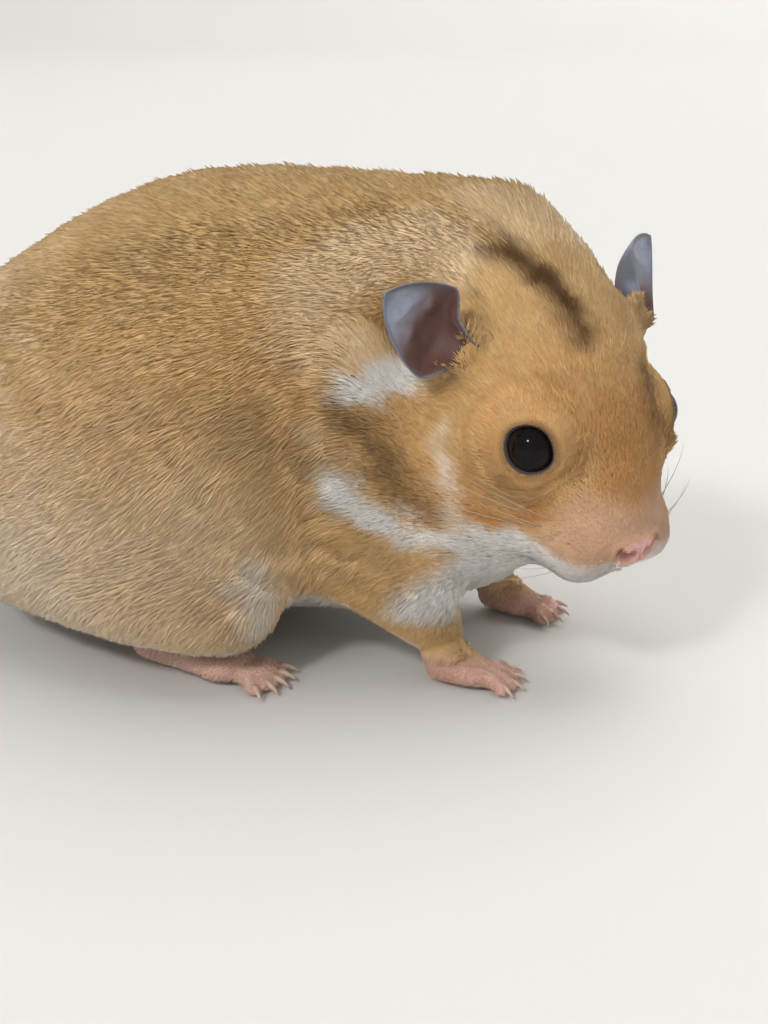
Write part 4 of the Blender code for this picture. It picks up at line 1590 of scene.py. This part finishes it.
def grow(hide, name, chosen, seed, settings, material):
    """Make one coat piece, with its coat marks and painted shade, and its body."""
    random = np.random.default_rng(seed)
    roots, room = planted(hide, name, chosen, seed, settings)
    points, normals = roots.points, roots.normals
    count = len(points)
    head = to_head(points)
    depth, short = coat_by_lids(head, roots.depth)
    ways = lie_of_coat(points, normals)
    swirl = 0.14 * ripples(points, 11.0, 21) + 0.14 * ripples(points, 3.6, 22)
    ways = turned_in_plane(ways, normals, swirl + random.normal(0, settings.stray, count))

    length = tuft_length(depth) * random.uniform(*LENGTHS, count) * rising(0.45, room) * short
    close = ease(from_ears(head), 7.5, 4.5)
    clear = EAR_ROOM.near(points + ways * (length * 0.8)[:, None] + normals, 0.8, 2.2, 1.3)
    length *= rising(0.12, clear) * (1.0 - 0.35 * close)
    rise = depth * random.uniform(*RISES, count) * (1.0 + 0.05 * ripples(points, 4.0, 23))
    loose = (random.random(count) < LOOSE_SHARE) & (depth > 1.5)
    rise = np.where(loose, rise * LOOSE_RISE, rise)
    rise *= rising(0.4, room) * (1.0 - 0.3 * close)
    ruff = ease(along_path(head, NAPE), 8.0, 3.0)
    rise = np.minimum(rise * (1.0 + 0.08 * ruff), length * STEEPEST)
    reach = np.sqrt(length**2 - rise**2)

    tips = points + ways * reach[:, None] + normals * rise[:, None]
    pull = random.uniform(0.0, MOST_PULL, count) * ease(depth, 1.2, 2.6) * (1.0 - close)
    tips = clumped(points, ways, tips, pull, seed + 40)
    tips[:, 2] = np.maximum(tips[:, 2], LOWEST_TIP)
    seen = points + ways * (reach * 0.7)[:, None] + normals * depth[:, None]
    roots.markings, roots.ground = markings(seen, normals)
    widths = tuft_width(depth, settings.width / MM) * random.uniform(*WIDTHS, count)
    widths *= np.where(loose, LOOSE_WIDTH, 1.0) * rising(0.45, ease(clear, 0.0, 0.5))
    tone = np.clip(random.random(count) * 0.8 + 0.1 + 0.2 * ripples(points, 2.2, 24), 0, 1)
    tufts = tufts_of(points, tips, ways, normals, widths, np.maximum(rise * 0.3, 0.04))
    obj = object_from(name, coat_mesh(name, roots, tufts, tone), material)
    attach(obj, "root")
    "coat_golden" if name != "coat_belly" else "coat_cream"


def coat_by_lids(head, depth):
    """The coat's depth, with enough near the eyes to cover their lids, and how short it is there."""
    out = round_eyes(head, -4.0)[1]
    depth = blend(depth, 0.4 + 1.1 * ease(out, 0.2, 3.0), ease(out, 5.5, 3.0))
    return depth, rising(0.5, ease(out, 0.2, 1.8))


def tuft_length(depth):
    return np.interp(depth, (0.2, 0.8), (0.4, 0.9)) + 1.35 * depth


def tuft_width(depth, widest):
    return widest * np.interp(depth, (0.2, 0.5, 1.2, 3.0), (0.35, 0.5, 0.65, 1.0))


# ---------------------------------------------------------------- eyes, claws and whiskers

CORNEA_BULGE = 0.035  # of the eyeball's radius
CLAW_RINGS = (
    (-0.6, 0, 0.42),
    (0.2, 0, 0.42),
    (1.0, -0.08, 0.3),
    (1.6, -0.3, 0.16),
    (2.0, -0.55, 0.0),
)
CLAW_AIM = (7.6, 0.0, 1.1)
WHISKER_RINGS = (
    (0, 0, 0.06),
    (2, 0.03, 0.055),
    (4, 0.2, 0.045),
    (6, 0.55, 0.035),
    (8, 1.1, 0.022),
    (10, 1.9, 0),
)
# The foremost whisker of the top row, the step to the next row and the step back along a row: first
# where each one stands, then which way it points.
WHISKER_PLACES = np.array([(15.6, 7.0, -3.4), (0.0, 0.0, -1.3), (-1.7, 0.0, 0.25)])
WHISKER_WAYS = np.array([(-0.25, 1.0, 0.28), (0.0, 0.0, -0.2), (-0.2, 0.0, 0.0)])
WHISKER_ROWS = 4
WHISKERS_IN_ROW = 4
WHISKER_BEND = (-1.0, 0.0, -0.2)  # the way that the whiskers curve
WHISKER_LENGTH = 9.0
WHISKER_GROWTH = 2.0  # how much longer each one is than the one before it
WHISKER_ROOT = 0.3  # how far under the skin it starts


class HAMSTER_OT_eyes(bpy.types.Operator):
    """Make the two eyeballs, with a slight bulge of the cornea"""

    bl_idname = "hamster.eyes"
    bl_label = "Eyes"

    def execute(self, context):
        face = context.scene.hamster_face
        material = Graph("hamster_eye").finish(
            Base_Color=(*face.eye, 1.0), Roughness=0.06, Specular_IOR_Level=0.2, IOR=1.4
        )
        ball, faces = ball_form(5, EYE_RADIUS)
        for name, side in SIDES.items():
            centre, outwards, _, _ = eye_frame(side)
            front = ease(ball @ outwards / EYE_RADIUS, 0.55, 1.0)
            points = ball * (1.0 + CORNEA_BULGE * front)[:, None] + centre
            eyeball = f"eyeball_{name}"
            obj = object_from(eyeball, mesh_from(eyeball, from_head(points), faces), material)
            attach(obj, "root")
            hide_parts(f"eye_{name}")
        return {"FINISHED"}


class HAMSTER_OT_ears(bpy.types.Operator):
    """Make the thin ears with their inner folds"""

    bl_idname = "hamster.ears"
    bl_label = "Ears"

    def execute(self, context):
        material = ear_material(context.scene.hamster_face)
        for name in SIDES:
            obj = object_from(f"ear_skin_{name}", ear_mesh(name), material)
            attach(obj, "root")
            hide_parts(f"ear_{name}")
        return {"FINISHED"}


class HAMSTER_OT_claws(bpy.types.Operator):
    """Set a curved claw on the end of every toe"""

    bl_idname = "hamster.claws"
    bl_label = "Claws"

    def execute(self, context):
        face = context.scene.hamster_face
        graph = Graph("hamster_claw")
        colour = graph.mix(face.claw, face.claw_streak, graph.noise(1500.0, 3.0) * 0.4)
        material = graph.finish(Base_Color=colour, Roughness=0.32)
        places, ways, sizes = [], [], []
        for paw, size in ((HIND_FOOT, 1.0), (FOREPAW, 0.8)):
            for side in SIDES.values():
                for turn in paw["fan"]:
                    root, aim = paw_place(paw, side, turn)([CLAW_ROOT, CLAW_AIM])
                    places.append(root)
                    ways.append(unit(aim - root))
                    sizes.append((size,) * 3)
        shape = horn("claw", CLAW_RINGS, 6)
        obj = instanced("claws", shape, places, ways, (0, 0, 1), sizes, material)
        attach(obj, "root")
        return {"FINISHED"}


class HAMSTER_OT_whiskers(bpy.types.Operator):
    """Set the whiskers in rows on both sides of the muzzle"""

    bl_idname = "hamster.whiskers"
    bl_label = "Whiskers"

    def execute(self, context):
        whisker = context.scene.hamster_face.whisker
        material = Graph("hamster_whisker").finish(Base_Color=(*whisker, 1.0), Roughness=0.4)
        head = to_head(points_of(bpy.data.objects["hamster_skin"].data))
        random = np.random.default_rng(7)
        places, ways, sizes = [], [], []
        for side in SIDES.values():
            for row in range(WHISKER_ROWS):
                for place in range(WHISKERS_IN_ROW):
                    steps = np.array([1.0, row, place])
                    aim = steps @ WHISKER_PLACES * (1, side, 1)
                    root = head[np.linalg.norm(head - aim, axis=1).argmin()]
                    way = steps @ WHISKER_WAYS * (1, side, 1) + random.normal(0, 0.05, 3)
                    length = WHISKER_LENGTH + WHISKER_GROWTH * place
                    length *= random.uniform(0.85, 1.1)
                    places.append(from_head(root - (0, side * WHISKER_ROOT, 0)))
                    ways.append(turned_from_head(unit(way)))
                    sizes.append((1.0, 1.0, length / WHISKER_RINGS[-1][0]))
        shape = horn("whisker", WHISKER_RINGS, 4)
        bend = turned_from_head(WHISKER_BEND)
        obj = instanced("whiskers", shape, places, ways, bend, sizes, material)
        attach(obj, "root")
        return {"FINISHED"}


# ---------------------------------------------------------------- the stage

CAMERA_TARGET = np.array([18.5, 1.7, 16.8])
CAMERA_AZIMUTH = 20
CAMERA_ELEVATION = 20
CAMERA_DISTANCE = 195.0
FLOOR_COLOUR = (0.62, 0.61, 0.59)
FLOOR_RADIUS = 2.2  # the floor and the studio are in metres
FLOOR_BEND = 1.2
FLOOR_RISE = 1.6
FLOOR_SIDES = 128
BEND_STEPS = 16
SUNS = (  # name, the way that it comes from, spread in degrees, strength and colour
    ("key", (-0.45, -0.9, 0.5), 40, 4.9, (1.0, 0.98, 0.95)),
    ("fill", (0.7, -0.5, 0.35), 60, 1.0, (0.95, 0.97, 1.0)),
    ("top", (0.0, 0.35, 0.95), 60, 1.9, (1.0, 1.0, 1.0)),
)
GLINT_PLACE = (-0.2, -0.8, 0.75)
GLINT_TARGET = np.array([5.0, 0.0, 25.0])
GLINT_SIZE = 0.16
GLINT_POWER = 3.2
WORLD_COLOUR = (0.62, 0.63, 0.65)
WORLD_STRENGTH = 0.7


def add_sun(name, way, spread, energy, colour):
    """Even light from one way, as from a large window; it shows in no reflection."""
    light = bpy.data.lights.new(name, "SUN")
    light.angle = math.radians(spread)
    light.energy = energy
    light.color = colour
    obj = bpy.data.objects.new(name, light)
    obj.rotation_euler = Vector(way).to_track_quat("Z", "Y").to_euler()
    obj.visible_glossy = False
    bpy.context.scene.collection.objects.link(obj)


def add_glint():
    """A small lamp that shows as the bright spot in the eyes."""
    light = bpy.data.lights.new("glint", "AREA")
    light.shape = "DISK"
    light.size = GLINT_SIZE
    light.energy = GLINT_POWER
    target = Vector((GLINT_TARGET + ANIMAL_ORIGIN) * MM)
    obj = bpy.data.objects.new("glint", light)
    obj.location = GLINT_PLACE
    obj.rotation_euler = (Vector(GLINT_PLACE) - target).to_track_quat("Z", "Y").to_euler()
    bpy.context.scene.collection.objects.link(obj)


def bowl(name):
    """A flat floor whose far edge curves up all round, so that no line shows behind the animal."""
    rings = [(0.3, 0.0), (1.2, 0.0), (FLOOR_RADIUS - 0.1, 0.0), (FLOOR_RADIUS, 0.0)]
    for step in range(1, BEND_STEPS + 1):
        angle = math.radians(90 * step / BEND_STEPS)
        away = FLOOR_RADIUS + FLOOR_BEND * math.sin(angle)
        rings.append((away, FLOOR_BEND * (1 - math.cos(angle))))
    rings.append((FLOOR_RADIUS + FLOOR_BEND, FLOOR_BEND + FLOOR_RISE))
    points = []
    for radius, height in rings:
        for i in range(FLOOR_SIDES):
            angle = 2 * math.pi * i / FLOOR_SIDES
            points.append((radius * math.cos(angle), radius * math.sin(angle), height))
    faces = [tuple(range(FLOOR_SIDES))]
    faces += [face[::-1] for face in ring_faces(len(rings), FLOOR_SIDES)]
    mesh = bpy.data.meshes.new(name)
    mesh.from_pydata(points, [], faces)
    mesh.shade_smooth()
    return mesh


class HAMSTER_OT_stage(bpy.types.Operator):
    """Set the floor, the soft lights and the camera"""

    bl_idname = "hamster.stage"
    bl_label = "Stage"

    def execute(self, context):
        azimuth, elevation = math.radians(CAMERA_AZIMUTH), math.radians(CAMERA_ELEVATION)
        back = np.array([
            math.sin(azimuth) * math.cos(elevation),
            -math.cos(azimuth) * math.cos(elevation),
            math.sin(elevation),
        ])
        camera = bpy.data.cameras.new("camera")
        camera.lens = 50
        camera.sensor_width = 36
        camera.clip_start = 0.005
        view = bpy.data.objects.new("camera", camera)
        view.location = (CAMERA_TARGET + back * CAMERA_DISTANCE + ANIMAL_ORIGIN) * MM
        view.rotation_euler = Vector(back).to_track_quat("Z", "Y").to_euler()
        context.scene.collection.objects.link(view)
        context.scene.camera = view

        material = Graph("floor").finish(Base_Color=(*FLOOR_COLOUR, 1.0), Roughness=0.8)
        object_from("floor", bowl("floor"), material)

        for sun in SUNS:
            add_sun(*sun)
        add_glint()
        world = bpy.data.worlds.new("studio")
        world.use_nodes = True
        shade = world.node_tree.nodes["Background"]
        shade.inputs["Color"].default_value = (*WORLD_COLOUR, 1.0)
        shade.inputs["Strength"].default_value = WORLD_STRENGTH
        context.scene.world = world
        context.scene.view_settings.view_transform = "Standard"
        return {"FINISHED"}


class HAMSTER_PT_panel(bpy.types.Panel):
    """Settings and steps, in the order that they run"""

    bl_label = "Hamster"
    bl_idname = "HAMSTER_PT_panel"
    bl_space_type = "VIEW_3D"
    bl_region_type = "UI"
    bl_category = "Hamster"

    def draw(self, context):
        for group in (context.scene.hamster_coat, context.scene.hamster_skin, context.scene.hamster_face):
            box = self.layout.box()
            for name in group.__annotations__:
                box.prop(group, name)
        for operator in OPERATORS:
            self.layout.operator(operator.bl_idname)


GROUPS = {"hamster_coat": HAMSTER_PG_coat, "hamster_skin": HAMSTER_PG_skin, "hamster_face": HAMSTER_PG_face}
OPERATORS = (
    HAMSTER_OT_stage,
    HAMSTER_OT_skin,
    HAMSTER_OT_eyes,
    HAMSTER_OT_ears,
    HAMSTER_OT_coat,
    HAMSTER_OT_claws,
    HAMSTER_OT_whiskers,
)


def register():
    for cls in (*GROUPS.values(), *OPERATORS, HAMSTER_PT_panel):
        bpy.utils.register_class(cls)
    for name, group in GROUPS.items():
        setattr(bpy.types.Scene, name, bpy.props.PointerProperty(type=group))


def unregister():
    for name in GROUPS:
        delattr(bpy.types.Scene, name)
    for cls in reversed((*GROUPS.values(), *OPERATORS, HAMSTER_PT_panel)):
        bpy.utils.unregister_class(cls)


def main():
    register()
    for operator in OPERATORS:
        group, name = operator.bl_idname.split(".")
        getattr(getattr(bpy.ops, group), name)()
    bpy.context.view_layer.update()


if __name__ == "__main__":
    main()
